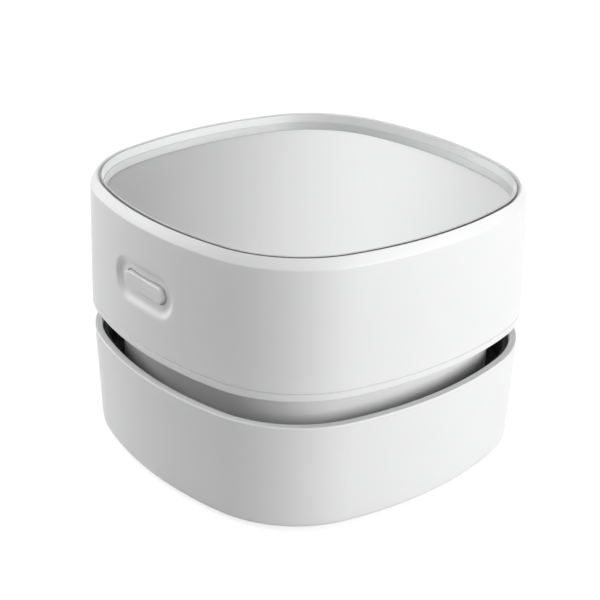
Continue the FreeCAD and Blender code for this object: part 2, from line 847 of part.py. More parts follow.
def make_fan_cover():
    half = skirt_half - skirt_wall - fan_cover_gap
    plate = slab(half, fan_cover_base, fan_cover_top)
    collar = tube(collar_radius, collar_radius - collar_wall, collar_base, fan_cover_base + 0.2)
    cuts = [cylinder(eye_radius, fan_cover_base - 1, fan_cover_top + 1)]
    cuts += [cylinder(screw_clear, fan_cover_base - 1, fan_cover_top + 1, sx * tower_place, sy * tower_place)
             for sx, sy in DIAGONALS]
    arm = eye_radius + 0.5
    hoop = eye_radius * eye_hoop_share
    rib = block(-arm, arm, -eye_rib / 2, eye_rib / 2, fan_cover_base, fan_cover_top)
    ribs = [rib, turned(rib, 90),
            tube(hoop + eye_rib / 2, hoop - eye_rib / 2, fan_cover_base, fan_cover_top)]
    lip = tube(eye_radius + eye_lip_width, eye_radius, fan_cover_top - 0.2, fan_cover_top + eye_lip_height)
    lugs = []
    for i in range(lug_count):
        middle = 360.0 / lug_count * i
        inner, outer = collar_radius - 0.3, collar_radius + lug_reach
        stop_middle = middle - (lug_angle + stop_angle) / 2 - stop_slack
        lugs.append(lug(inner, outer, collar_base, collar_base + lug_thickness, middle, lug_angle))
        lugs.append(lug(inner, outer, collar_base, fan_cover_base + 0.2, stop_middle, stop_angle))
    return joined([without(plate, cuts), collar, lip] + ribs + lugs)


def lug(inner, outer, low, high, middle, spread):
    """A short arc of a ring, for the bayonet."""
    piece = Part.makeCylinder(outer, high - low, Vector(0, 0, low), UP, spread)
    piece = piece.cut(cylinder(inner, low - 1, high + 1))
    return turned(piece, middle - spread / 2)


def make_fan_cover_screws():
    return Part.makeCompound([pan_screw(sx * tower_place, sy * tower_place, fan_cover_base,
                                        fan_cover_thickness + screw_bite - 1.2, 1) for sx, sy in DIAGONALS])


def make_impeller():
    disc = cylinder(impeller_radius, impeller_top - backplate_thickness, impeller_top)
    hub = cylinder(hub_radius, impeller_base, impeller_top)
    reach = impeller_radius - blade_inset
    chord = reach - blade_inner
    rise = math.sqrt(blade_bend ** 2 - (chord / 2) ** 2)
    centre_x, centre_y = (reach + blade_inner) / 2, -rise
    sheet = tube(blade_bend + blade_thickness / 2, blade_bend - blade_thickness / 2,
                 impeller_base, impeller_top - backplate_thickness / 2, centre_x, centre_y)
    span = tube(reach, blade_inner, impeller_base - 1, impeller_top).common(
        block(0, impeller_radius, -blade_thickness, impeller_radius, impeller_base - 1, impeller_top))
    blade = sheet.common(span)
    blades = [turned(blade, 360.0 * i / blade_count) for i in range(blade_count)]
    solid = joined([disc, hub] + blades)
    return without(solid, [cylinder(shaft_radius + 0.01, impeller_base - 1, impeller_top + 1)])


# ---------------------------------------------------------------- filter

def make_filter_frame():
    top = fan_cover_base - lug_gap / 2 - filter_clear
    base = top - filter_height
    inner = filter_radius - filter_wall
    wall = tube(filter_radius, inner, base, top)
    middle = inner * hub_hoop_share
    hoop = tube(middle + spoke_width / 2, middle - spoke_width / 2, base, base + filter_grid)
    centre = cylinder(spoke_width * 2, base, base + filter_grid)
    spokes = [turned(block(0, inner + 0.4, -spoke_width / 2, spoke_width / 2, base, base + filter_grid),
                     360.0 / filter_spokes * i) for i in range(filter_spokes)]
    lug_base = collar_base + lug_thickness + lug_gap
    lugs = [lug(collar_radius + lug_gap, inner + 0.3, lug_base, lug_base + lug_thickness,
                360.0 / lug_count * i, lug_angle) for i in range(lug_count)]
    grip = block(filter_radius - 0.2, filter_radius + grip_proud, -grip_width / 2, grip_width / 2, base, top)
    grips = [turned(grip, 360.0 / grip_count * i) for i in range(grip_count)]
    return joined([wall, hoop, centre] + spokes + lugs + grips)


def make_filter_media():
    base = fan_cover_base - lug_gap / 2 - filter_clear - filter_height + filter_grid
    return cylinder(filter_radius - filter_wall - fit, base, base + media_thickness)


def make_filter_gasket():
    base = fan_cover_base - lug_gap / 2 - filter_clear - filter_height + filter_grid + media_thickness
    return tube(filter_radius - filter_wall - fit, collar_radius - collar_wall - 0.6,
                base, base + gasket_thickness)


# ---------------------------------------------------------------- motor head, drive

def make_chassis():
    outside = neck_half - neck_wall - chassis_gap
    flange_half = shell_inside_at(flange_top) - flange_inset
    tub = ring([
        (outside, chassis_level),
        (outside, seam_level),
        (flange_half, seam_level),
        (flange_half, flange_top),
        (outside - chassis_wall, flange_top, 0.5),
        (outside - chassis_wall, motor_level, 1.0),
        (outside - chassis_floor_lap, motor_level),
        (outside - chassis_floor_lap, chassis_level),
    ])
    floor = slab(outside - chassis_floor_lap + 2, chassis_level, motor_level)
    cup = tube(cup_radius(), cup_radius() - chassis_wall, motor_level - 0.2, motor_level + cup_height)
    saddles = []
    for side in (-1, 1):
        x = side * saddle_spread / 2
        saddles.append(block(x - saddle_thickness / 2, x + saddle_thickness / 2,
                             cell_place() - cell_radius + 0.6, cell_place() + cell_radius - 0.6,
                             motor_level - 0.2, cell_level()))
    cell_space = Part.makeCylinder(cell_radius + fit, cell_length + 2, Vector(-cell_length / 2 - 1,
                                   cell_place(), cell_level()), Vector(1, 0, 0))
    post_low = motor_level - 0.2
    posts = [cylinder(board_post_radius, post_low if y < outside - 6 else seam_level, board_height, x, y)
             for x, y in board_posts()]
    guides = []
    back = switch_board_back()
    near = back - switch_board_thickness
    for side in (-1, 1):
        x = side * switch_board_length / 2
        guides.append(block(x - guide_width / 2, x + guide_width / 2, near - guide_wall,
                            back + guide_wall, seam_level, button_height + 3))
    slot = block(-switch_board_length / 2 - fit, switch_board_length / 2 + fit,
                 near - fit, back + fit,
                 button_height - switch_board_height / 2 - fit, button_height + switch_board_height)
    cuts = [cell_space, slot, cylinder(motor_boss_radius + 0.1, chassis_level - 1, motor_level + 1)]
    for x, y in board_posts():
        cuts.append(cylinder(pilot_radius, board_height - screw_bite, board_height + 1, x, y))
    holes = [(side * motor_screw_spacing / 2, 0) for side in (-1, 1)]
    holes += [(sx * tower_place, sy * tower_place) for sx, sy in DIAGONALS]
    for x, y in holes:
        cuts.append(cylinder(screw_clear, chassis_level - 1, motor_level + 1, x, y))
    for sx, sy in DIAGONALS:
        x, y = sx * post_place, sy * post_place
        cuts.append(cylinder(post_radius + 0.6, seam_level - 1, flange_top + 1, x, y))
    return without(joined([tub, floor, cup] + saddles + posts + guides), cuts)


def make_chassis_screws():
    return Part.makeCompound([pan_screw(sx * tower_place, sy * tower_place, motor_level,
                                        chassis_floor + screw_bite - 1.2, -1) for sx, sy in DIAGONALS])


def make_motor_can():
    top = motor_level + can_length
    can = cylinder(can_radius, motor_level, top)
    bottom = [e for e in can.Edges if abs(e.BoundBox.ZMax - motor_level) < 1e-6]
    can = can.makeFillet(0.8, bottom)
    boss = cylinder(motor_boss_radius, motor_level - motor_boss_height, motor_level + 0.5)
    cuts = [cylinder(can_radius - can_wall, motor_level + can_wall, top + 1),
            cylinder(shaft_radius + shaft_room, motor_level - motor_boss_height - 1, motor_level + 3)]
    for side in (-1, 1):
        cuts.append(cylinder(screw_radius * 0.8, motor_level - 1, motor_level + 2,
                             side * motor_screw_spacing / 2, 0))
    return without(can.fuse(boss), cuts)


def make_motor_bush():
    low = motor_level - motor_boss_height
    return tube(shaft_radius + shaft_room - 0.02, shaft_radius + 0.03, low, motor_level + can_wall)


def make_motor_end_cap():
    top = motor_level + can_length
    cap = cylinder(can_radius - can_wall - fit, top - end_cap_drop, top)
    cap = cap.fuse(cylinder(can_radius, top, top + end_cap_thickness))
    boss = cylinder(motor_boss_radius, top + end_cap_thickness - 0.2, top + end_cap_thickness + 0.6)
    cuts = [cylinder(shaft_radius + 0.05, top - 2, top + end_cap_thickness - 0.4)]
    for side in (-1, 1):
        x = side * terminal_spacing / 2
        cuts.append(block(x - 0.2, x + 0.2, -1.3, 1.3, top - 2, top + end_cap_thickness + 1))
    return without(joined([cap, boss]), cuts)


def make_motor_terminals():
    top = motor_level + can_length
    tabs = []
    for side in (-1, 1):
        x = side * terminal_spacing / 2
        tabs.append(block(x - 0.15, x + 0.15, -1.2, 1.2, top - 1.8, top + end_cap_thickness + terminal_rise))
    return Part.makeCompound(tabs)


def make_motor_magnets():
    outer = can_radius - can_wall - fit
    inner = outer - magnet_thickness
    low = motor_level + can_wall + magnet_lift
    hoop = tube(outer, inner, low, low + rotor_length + 1)
    gaps = block(-outer, outer, -pole_gap / 2, pole_gap / 2, low - 1, low + rotor_length + 2)
    return Part.makeCompound(hoop.cut(gaps).Solids)


def rotor_radius():
    return can_radius - can_wall - fit - magnet_thickness - rotor_gap


def make_armature():
    low = motor_level + can_wall + rotor_lift
    core = cylinder(rotor_radius(), low, low + rotor_length)
    place = rotor_radius() * slot_place_share
    slots = []
    for i in range(rotor_slots):
        x, y = polar(place, 360.0 * i / rotor_slots)
        slots.append(cylinder(rotor_radius() * slot_radius_share, low - 1, low + rotor_length + 1, x, y))
        mouth = block(place, rotor_radius() + 1, -slot_mouth / 2, slot_mouth / 2,
                      low - 1, low + rotor_length + 1)
        slots.append(turned(mouth, 360.0 * i / rotor_slots))
    slots.append(cylinder(shaft_radius + 0.01, low - 1, low + rotor_length + 1))
    return without(core, slots)


def make_commutator():
    low = motor_level + can_wall + rotor_lift + rotor_length
    drum = tube(commutator_radius, shaft_radius + 0.01, low, low + commutator_length)
    line = block(shaft_radius + 1.2, commutator_radius + 1, -bar_gap / 2, bar_gap / 2,
                 low - 1, low + commutator_length + 1)
    lines = [turned(line, 360.0 / commutator_bars * i) for i in range(commutator_bars)]
    return without(drum, lines)


def make_motor_shaft():
    top = motor_level + can_length + end_cap_thickness - 0.6
    return cylinder(shaft_radius, impeller_base + 0.3, top)


def make_motor_screws():
    return Part.makeCompound([pan_screw(side * motor_screw_spacing / 2, 0, chassis_level,
                                        chassis_floor + can_wall + 0.2, 1) for side in (-1, 1)])


def make_motor_sleeve():
    low = motor_level + 0.8
    return tube(can_radius + sleeve_thickness + fit, can_radius + fit, low, low + sleeve_length)


# ---------------------------------------------------------------- motor head, power

def cell_level():
    return motor_level + cell_lift + cell_radius


def cup_radius():
    """Outside of the cup that holds the motor and its sleeve."""
    return can_radius + sleeve_thickness + 2 * fit + chassis_wall


def cell_place():
    """Y of the cell's axis, in front of the motor."""
    return -cup_radius() - cell_gap - cell_radius


def make_battery_cell():
    low = Vector(-cell_length / 2, cell_place(), cell_level())
    can = Part.makeCylinder(cell_radius, cell_length, low, Vector(1, 0, 0))
    can = can.makeFillet(0.5, [e for e in can.Edges if e.BoundBox.XLength < 1e-6])
    nub_start = Vector(cell_length / 2 - 0.1, cell_place(), cell_level())
    nub = Part.makeCylinder(cell_radius * 0.38, nub_height + 0.1, nub_start, Vector(1, 0, 0))
    return can.fuse(nub)


def make_battery_tabs():
    end = cell_length / 2
    high = cell_level() + tab_rise
    near, far = cell_place() - tab_width / 2, cell_place() + tab_width / 2
    plus = block(end + nub_height, end + nub_height + tab_thickness, near, far, cell_level() - 2, high)
    minus = block(-end - tab_thickness, -end, near, far, cell_level() - 2, high)
    return Part.makeCompound([plus, minus])


def board_back():
    return shell_inside_at(board_height) - board_back_gap


def board_posts():
    """Places of the four posts under the main board."""
    x = board_length / 2 - board_post_inset
    far = board_back() - board_post_inset + 1.2
    near = board_back() - board_depth + board_post_inset - 1.4
    return ((x, far), (-x, far), (x, near), (-x, near))


def socket_level():
    return board_height + board_thickness + socket_width / 2 - 0.2


def make_main_board():
    back = board_back()
    board = block(-board_length / 2, board_length / 2, back - board_depth, back, board_height,
                  board_height + board_thickness)
    tongue = block(-board_tongue_length / 2, board_tongue_length / 2, back - 1, back + board_tongue,
                   board_height, board_height + board_thickness)
    holes = [cylinder(screw_clear, board_height - 1, board_height + board_thickness + 1, x, y)
             for x, y in board_posts()]
    recess = block(-socket_length / 2 - 0.2, socket_length / 2 + 0.2, socket_mouth() - socket_depth - 0.1,
                   back + board_tongue + 1,
                   board_height + board_thickness - 0.25, board_height + board_thickness + 1)
    return without(board.fuse(tongue).removeSplitter(), holes + [recess])


def make_board_parts():
    top = board_height + board_thickness
    y = board_back() - board_depth
    row = y + parts_pitch
    chip = block(-chip_length / 2, chip_length / 2, row, row + chip_depth, top, top + chip_height)
    row += parts_pitch
    coil = block(coil_place, coil_place + coil_side, row, row + coil_side, top, top + coil_height)
    capacitor = block(-diode_place, -diode_place + capacitor_length, row, row + capacitor_depth,
                      top, top + capacitor_height)
    row += parts_pitch / 2
    resistors = []
    for i in range(resistor_count):
        x = (i - resistor_count / 2) * resistor_pitch
        resistors.append(block(x, x + resistor_length, row, row + resistor_depth, top, top + resistor_height))
    row += parts_pitch / 2
    diode = block(-diode_place, -diode_place + diode_length, row, row + diode_depth, top, top + diode_height)
    lamp_back = board_back() - lens_overlap * 2
    lamp = block(lens_place - lamp_side / 2, lens_place + lamp_side / 2, lamp_back - 1, lamp_back,
                 top, socket_level() + lamp_side / 2)
    return Part.makeCompound([chip, coil, capacitor, diode, lamp] + resistors)


def make_board_screws():
    seat = board_height + board_thickness
    return Part.makeCompound([pan_screw(x, y, seat, board_thickness + screw_bite - 1.2, -1)
                              for x, y in board_posts()])


def socket_mouth():
    """Where the socket's mouth stands, just inside the shell's outer face."""
    return case_half_at(socket_level()) - 0.4


def make_usb_socket():
    mouth = socket_mouth()
    shell = stadium(socket_length, socket_width, -mouth, -mouth + socket_depth, socket_level())
    hollow = stadium(socket_length - 2 * socket_wall, socket_width - 2 * socket_wall,
                     -mouth - 1, -mouth + socket_depth - 0.8, socket_level())
    return turned(shell.cut(hollow), 180)


def make_usb_tongue():
    mouth = socket_mouth()
    low = mouth - socket_depth + 0.8
    tongue = block(-tongue_length / 2, tongue_length / 2, low, mouth - 0.9,
                   socket_level() - tongue_thickness / 2, socket_level() + tongue_thickness / 2)
    root = block(-tongue_length / 2 - 0.4, tongue_length / 2 + 0.4, low, low + 1.2,
                 socket_level() - 1.0, socket_level() + 1.0)
    return tongue.fuse(root)


def lens_seat():
    """Y of the light pipe's collar where it meets the shell."""
    return wall_place(shell_inside_at(socket_level()), lens_place + lens_radius + lens_collar)


def make_charge_lens():
    start = board_back() - lens_overlap
    end = wall_place(case_half_at(socket_level()), lens_place + lens_radius) - 0.1
    rod = barrel(lens_radius, start, end, lens_place, socket_level())
    collar = barrel(lens_radius + lens_collar, lens_seat() - 0.9, lens_seat(), lens_place, socket_level())
    return rod.fuse(collar)


# ---------------------------------------------------------------- button and switch

def flange_front():
    """Y of the button flange's front face, behind the shell's pad."""
    return -shell_inside_at(button_height) + pad_thickness + 0.1


def make_power_button():
    face = -case_half_at(button_height) + button_sink
    front = flange_front()
    cap = stadium(button_length, button_width, front + 0.2, face, button_height)
    edges = [e for e in cap.Edges if abs(e.BoundBox.YMax - face) < 1e-6]
    cap = cap.makeFillet(button_round, edges)
    flange = stadium(button_length + 2 * flange_margin, button_width + 2 * flange_margin,
                     front, front + flange_thickness, button_height)
    back = front + flange_thickness
    stem = barrel(stem_radius, back - 0.1, back + plunger_gap, 0, button_height)
    return joined([cap, flange, stem])


def plunger_front():
    return flange_front() + flange_thickness + plunger_gap


def switch_front():
    return plunger_front() + button_travel + switch_gap


def switch_board_back():
    return switch_front() + switch_depth + switch_board_thickness


def make_switch_plunger():
    return barrel(plunger_radius, plunger_front(), switch_front() + plunger_length, 0, button_height)


def make_push_switch():
    half = switch_side / 2
    front = switch_front()
    body = block(-half, half, front, front + switch_depth, button_height - half, button_height + half)
    well_end = front + plunger_length + button_travel + 0.1
    well = barrel(plunger_radius + switch_gap, front - 0.1, well_end, 0, button_height)
    return body.cut(well)


def make_switch_board():
    front = switch_front() + switch_depth
    return block(-switch_board_length / 2, switch_board_length / 2, front, front + switch_board_thickness,
                 button_height - switch_board_height / 2, button_height + switch_board_height / 2)


# ---------------------------------------------------------------- leads

def make_motor_leads():
    start = motor_level + can_length + end_cap_thickness + terminal_rise + lead_radius
    board = board_height + board_thickness + lead_radius
    edge = board_back() - board_depth
    leads = []
    for side in (-1, 1):
        x = side * terminal_spacing / 2
        leads.append(lead([(x, -0.8, start), (x, 6, start), (x, 14, start - 1.5), (x, edge - 1, board + 0.8),
                           (x, edge + 2, board), (x, edge + 4, board)]))
    return Part.makeCompound(leads)


def make_battery_leads():
    high = cell_level() + tab_rise - lead_radius
    end = cell_length / 2
    board = board_height + board_thickness + lead_radius
    y = board_back() - board_depth / 2
    lane = board_length / 2 + 5 * lead_radius + 2
    leads = []
    for side, x in ((1, end + nub_height), (-1, end)):
        x += tab_thickness + lead_radius
        leads.append(lead([(side * x, cell_place(), high - 2), (side * x, cell_place(), high + 2),
                           (side * lane, cell_place() + cell_radius, board), (side * lane, y - 5, board),
                           (side * (lane - 2), y, board), (side * (board_length / 2 - 3), y, board)]))
    return Part.makeCompound(leads)


def make_switch_leads():
    start = switch_board_back() + lead_radius
    level = button_height + switch_board_height / 2 - 1.5
    edge = board_back() - board_depth
    board = board_height + board_thickness + lead_radius
    lane = cup_radius() + 4 * lead_radius
    leads = []
    for side in (-1, 1):
        leads.append(lead([(side * 2.5, start, level), (side * 7, start, level),
                           (side * 13, start + 9, level), (side * lane, -9, level - 2.5),
                           (side * lane, 4, level - 4), (side * (lane - 3.5), edge - 4, board + 1.4),
                           (side * 12.5, edge + 2, board), (side * 12.5, edge + 5, board)]))
    return Part.makeCompound(leads)


NODES = {
    "dust_bowl": make_dust_bowl,
    "cup_liner": make_cup_liner,
    "suction_plate": make_suction_plate,
    "bristle_tufts": make_bristles,
    "base_screws": make_base_screws,
    "glide_feet": make_glide_feet,
    "upper_shell": make_upper_shell,
    "top_tray": make_top_tray,
    "tray_trim": make_tray_trim,
    "top_plate": make_top_plate,
    "lower_cover": make_lower_cover,
    "neck_seal": make_neck_seal,
    "case_screws": make_case_screws,
    "fan_cover": make_fan_cover,
    "fan_cover_screws": make_fan_cover_screws,
    "impeller": make_impeller,
    "filter_frame": make_filter_frame,
    "filter_media": make_filter_media,
    "filter_gasket": make_filter_gasket,
    "chassis": make_chassis,
    "chassis_screws": make_chassis_screws,
    "motor_can": make_motor_can,
    "motor_bush": make_motor_bush,
    "motor_end_cap": make_motor_end_cap,
    "motor_terminals": make_motor_terminals,
    "motor_magnets": make_motor_magnets,
    "armature": make_armature,
    "commutator": make_commutator,
    "motor_shaft": make_motor_shaft,
    "motor_screws": make_motor_screws,
    "motor_sleeve": make_motor_sleeve,
    "battery_cell": make_battery_cell,
    "battery_tabs": make_battery_tabs,
    "main_board": make_main_board,
    "board_parts": make_board_parts,
    "board_screws": make_board_screws,
    "usb_socket": make_usb_socket,
    "usb_tongue": make_usb_tongue,
    "charge_lens": make_charge_lens,
    "power_button": make_power_button,
    "switch_plunger": make_switch_plunger,
    "push_switch": make_push_switch,
    "switch_board": make_switch_board,
    "motor_leads": make_motor_leads,
    "battery_leads": make_battery_leads,
    "switch_leads": make_switch_leads,
}

os.makedirs("parts", exist_ok=True)
for name, make in NODES.items():
    shape = make()
    if not shape.isValid() or not shape.Solids:
        raise ValueError(name + " is not a valid solid")
    shape.exportStep("parts/" + name + ".step")
    print(name, len(shape.Solids), round(shape.Volume, 1))
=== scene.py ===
import math
import random

import bpy
import bmesh
from mathutils import Matrix, Vector


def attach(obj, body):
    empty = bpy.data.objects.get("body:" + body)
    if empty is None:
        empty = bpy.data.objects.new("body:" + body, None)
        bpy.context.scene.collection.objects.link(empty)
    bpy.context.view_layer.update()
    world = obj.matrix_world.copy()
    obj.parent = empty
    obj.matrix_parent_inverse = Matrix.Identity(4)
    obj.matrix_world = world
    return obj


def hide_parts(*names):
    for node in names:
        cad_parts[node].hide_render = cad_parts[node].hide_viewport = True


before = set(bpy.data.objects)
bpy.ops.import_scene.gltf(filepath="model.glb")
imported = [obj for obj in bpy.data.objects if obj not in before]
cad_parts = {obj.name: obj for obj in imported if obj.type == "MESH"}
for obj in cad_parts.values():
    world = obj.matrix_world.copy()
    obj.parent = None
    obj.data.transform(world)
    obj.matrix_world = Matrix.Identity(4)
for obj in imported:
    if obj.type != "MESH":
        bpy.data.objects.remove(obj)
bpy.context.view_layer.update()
mm = 0.001   # sizes of pieces are written in millimetres

# the rounded square that nearly every moulding follows: shallow side arcs and tight corner arcs
outline = {"half": 43.0, "sideRadius": 83.0, "cornerRadius": 26.5}
sideReach = outline["sideRadius"] - outline["half"]
cornerReach = outline["half"] - outline["cornerRadius"]
radiusStep = outline["sideRadius"] - outline["cornerRadius"]
cornerCentre = (math.sqrt(2 * radiusStep ** 2 - sideReach ** 2) - sideReach) / 2
sideAngle = math.degrees(math.atan2(cornerCentre, cornerCentre + sideReach))


def outlineSpot(half, angle):
    # a point of the outline whose outward direction is the angle
    turn = 90 * round(angle / 90)
    local = math.radians(angle - turn)
    if abs(angle - turn) <= sideAngle:
        x = -sideReach + (half + sideReach) * math.cos(local)
        y = (half + sideReach) * math.sin(local)
    else:
        x = cornerCentre + (half - cornerReach) * math.cos(local)
        y = math.copysign(cornerCentre, local) + (half - cornerReach) * math.sin(local)
    c, s = math.cos(math.radians(turn)), math.sin(math.radians(turn))
    return x * c - y * s, x * s + y * c


# degrees either side of a face's middle: fine steps, then the wider ones that lead out of them
fineSteps = {"reach": 8.4, "step": 0.2, "leadOut": (9.2, 10.4, 11.8, 13.4)}


def ringAngles(fineTurns=(), sideSteps=18, cornerSteps=26):
    # directions round the case, closer together on the faces that carry a button or a socket
    fineCount = round(2 * fineSteps["reach"] / fineSteps["step"]) + 1
    angles = []
    for turn in (0, 90, 180, 270):
        if turn in fineTurns:
            steps = [-sideAngle] + [-a for a in reversed(fineSteps["leadOut"])]
            steps += [-fineSteps["reach"] + fineSteps["step"] * i for i in range(fineCount)]
            steps += fineSteps["leadOut"]
        else:
            steps = [-sideAngle + 2 * sideAngle * i / sideSteps for i in range(sideSteps)]
        angles += [turn + a for a in steps]
        corner = 90 - 2 * sideAngle
        angles += [turn + sideAngle + corner * i / cornerSteps for i in range(cornerSteps)]
    return angles


def easeSection(points, steps, closed=True):
    # points are (half, level) or (half, level, rounding); roundings become short arcs
    eased = []
    count = len(points)
    for i, point in enumerate(points):
        here = Vector(point[:2])
        inside = closed or 0 < i < count - 1
        if len(point) < 3 or not inside:
            eased.append(tuple(here))
            continue
        back = (Vector(points[i - 1][:2]) - here).normalized()
        ahead = (Vector(points[(i + 1) % count][:2]) - here).normalized()
        halfTurn = back.angle(ahead) / 2
        reach = point[2] / math.tan(halfTurn)
        centre = here + (back + ahead).normalized() * (point[2] / math.sin(halfTurn))
        first, last = here + back * reach - centre, here + ahead * reach - centre
        sweep = first.angle_signed(last)
        for k in range(steps + 1):
            c, s = math.cos(-sweep * k / steps), math.sin(-sweep * k / steps)
            eased.append((centre.x + first.x * c - first.y * s, centre.y + first.x * s + first.y * c))
    return eased


def skinRings(bm, rings, closed=False):
    # joins each ring of points to the next; the ends meet each other or are capped
    pairs = list(zip(rings, rings[1:]))
    if closed:
        pairs.append((rings[-1], rings[0]))
    for low, high in pairs:
        for k in range(len(low)):
            n = (k + 1) % len(low)
            bm.faces.new((low[k], low[n], high[n], high[k]))
    if not closed:
        bm.faces.new(rings[0])
        bm.faces.new(rings[-1])


def sweepRing(section, angles, closed=True):
    # carries a section round the outline
    bm = bmesh.new()
    rings = []
    for half, level in section:
        spots = [outlineSpot(half, a) for a in angles]
        rings.append([bm.verts.new((x * mm, y * mm, level * mm)) for x, y in spots])
    skinRings(bm, rings, closed)
    return bm


def pillSpots(length, width, inset, steps=24):
    # outline of a pill lying along X, in the XZ plane
    radius, straight = width / 2 - inset, (length - width) / 2
    spots = []
    for side in (1, -1):
        for k in range(steps + 1):
            a = math.radians(side * 90 - 180 * k / steps)
            spots.append((side * straight + radius * math.cos(a), radius * math.sin(a)))
    return spots


def stackPill(rows, length, width, middle):
    # rows are (y, inset), from the back to the face
    bm = bmesh.new()
    rings = []
    for y, inset in rows:
        spots = pillSpots(length, width, inset)
        rings.append([bm.verts.new((x * mm, y * mm, (middle + z) * mm)) for x, z in spots])
    skinRings(bm, rings)
    return bm


def latheInto(bm, section, x=0.0, y=0.0, steps=48):
    # turns a section of (radius, level) about an upright line, closed at both ends
    rings = []
    for radius, level in section:
        rings.append([bm.verts.new(((x + radius * math.cos(2 * math.pi * k / steps)) * mm,
                                    (y + radius * math.sin(2 * math.pi * k / steps)) * mm, level * mm))
                      for k in range(steps)])
    skinRings(bm, rings)


def addObject(name, data):
    thing = bpy.data.objects.new(name, data)
    bpy.context.scene.collection.objects.link(thing)
    return thing


def makePiece(name, bm):
    mesh = bpy.data.meshes.new(name)
    bmesh.ops.recalc_face_normals(bm, faces=bm.faces)
    bm.to_mesh(mesh)
    bm.free()
    return addObject(name, mesh)


def carve(piece, cutters, way="DIFFERENCE"):
    # cuts or joins solids, then keeps the result as the piece's own mesh
    for cutter in cutters:
        step = piece.modifiers.new("carve", "BOOLEAN")
        step.object = cutter
        step.operation = way
        step.solver = "EXACT"
    bpy.context.view_layer.update()
    shaped = bpy.data.meshes.new_from_object(piece.evaluated_get(bpy.context.evaluated_depsgraph_get()))
    piece.modifiers.clear()
    piece.data = shaped
    for cutter in cutters:
        bpy.data.objects.remove(cutter)


def settle(piece, material, body, nodes, crease=32):
    # smooth skin with crisp creases, finish, and the body it rides on
    piece.data.materials.clear()
    piece.data.materials.append(material)
    for face in piece.data.polygons:
        face.use_smooth = True
        face.material_index = 0
    piece.data.set_sharp_from_angle(angle=math.radians(crease))
    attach(piece, body)
    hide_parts(*nodes)
    print("made", piece.name, "with", len(piece.data.polygons), "faces")


def clearTree(owner):
    # an empty node tree for a material or for the world
    owner.use_nodes = True
    owner.node_tree.nodes.clear()
    return owner.node_tree


def startFinish(name):
    material = bpy.data.materials.new(name)
    tree = clearTree(material)
    shader = tree.nodes.new("ShaderNodeBsdfPrincipled")
    output = tree.nodes.new("ShaderNodeOutputMaterial")
    tree.links.new(shader.outputs["BSDF"], output.inputs["Surface"])
    return material, tree, shader


def objectSpot(tree):
    return tree.nodes.new("ShaderNodeTexCoord").outputs["Object"]


def noiseField(tree, scale, detail, stretch=(1, 1, 1), roughness=0.5):
    mapping = tree.nodes.new("ShaderNodeMapping")
    mapping.inputs["Scale"].default_value = stretch
    noise = tree.nodes.new("ShaderNodeTexNoise")
    noise.inputs["Scale"].default_value = scale
    noise.inputs["Detail"].default_value = detail
    noise.inputs["Roughness"].default_value = roughness
    tree.links.new(objectSpot(tree), mapping.inputs["Vector"])
    tree.links.new(mapping.outputs["Vector"], noise.inputs["Vector"])
    return noise.outputs["Fac"]


def cellField(tree, scale, randomness=1.0):
    cells = tree.nodes.new("ShaderNodeTexVoronoi")
    cells.inputs["Scale"].default_value = scale
    cells.inputs["Randomness"].default_value = randomness
    tree.links.new(objectSpot(tree), cells.inputs["Vector"])
    return cells.outputs["Distance"]


noiseLow, noiseHigh = 0.3, 0.7   # most of a noise field lies between these


def remap(tree, value, low, high, fromLow=noiseLow, fromHigh=noiseHigh):
    step = tree.nodes.new("ShaderNodeMapRange")
    step.inputs["From Min"].default_value = fromLow
    step.inputs["From Max"].default_value = fromHigh
    step.inputs["To Min"].default_value = low
    step.inputs["To Max"].default_value = high
    tree.links.new(value, step.inputs["Value"])
    return step.outputs["Result"]


def combine(tree, operation, first, second):
    step = tree.nodes.new("ShaderNodeMath")
    step.operation = operation
    tree.links.new(first, step.inputs[0])
    tree.links.new(second, step.inputs[1])
    return step.outputs["Value"]


def blendColour(tree, value, first, second):
    ramp = tree.nodes.new("ShaderNodeValToRGB")
    ramp.color_ramp.elements[0].color = (*first, 1)
    ramp.color_ramp.elements[1].color = (*second, 1)
    ramp.color_ramp.elements[0].position = noiseLow
    ramp.color_ramp.elements[1].position = noiseHigh
    tree.links.new(value, ramp.inputs["Fac"])
    return ramp.outputs["Color"]


def coverColour(tree, under, cover, amount):
    # lays a plain colour over what is there already
    mix = tree.nodes.new("ShaderNodeMix")
    mix.data_type = "RGBA"
    mix.inputs["B"].default_value = (*cover, 1)
    tree.links.new(amount, mix.inputs["Factor"])
    tree.links.new(under, mix.inputs["A"])
    return mix.outputs["Result"]


# how sharp a corner is where rubbing starts and where it is full, and how much of the colour it takes
wear = {"start": 0.53, "end": 0.6, "most": 0.6}


def edgeWear(tree, colour, wornColour):
    # corners rub a little lighter or darker than the faces
    shape = tree.nodes.new("ShaderNodeNewGeometry")
    amount = remap(tree, shape.outputs["Pointiness"], 0.0, wear["most"], wear["start"], wear["end"])
    return coverColour(tree, colour, wornColour, amount)


def bumpStack(tree, shader, layers, softEdge=0.0):
    # layers are (value, depth in mm, strength), coarse first
    last = None
    if softEdge:
        bevel = tree.nodes.new("ShaderNodeBevel")
        bevel.samples = 4
        bevel.inputs["Radius"].default_value = softEdge * mm
        last = bevel.outputs["Normal"]
    for value, depth, strength in layers:
        bump = tree.nodes.new("ShaderNodeBump")
        bump.inputs["Distance"].default_value = depth * mm
        bump.inputs["Strength"].default_value = strength
        tree.links.new(value, bump.inputs["Height"])
        if last:
            tree.links.new(last, bump.inputs["Normal"])
        last = bump.outputs["Normal"]
    tree.links.new(last, shader.inputs["Normal"])


# in the looks below, a noise field is (scale, detail)
moulded = {"colourPatches": (34.0, 4.0), "glossPatches": (210.0, 5.0), "glossier": 0.03, "duller": 0.04,
           "bumpDetail": 2.0, "rippleStrength": 0.25, "grainStrength": 0.5}


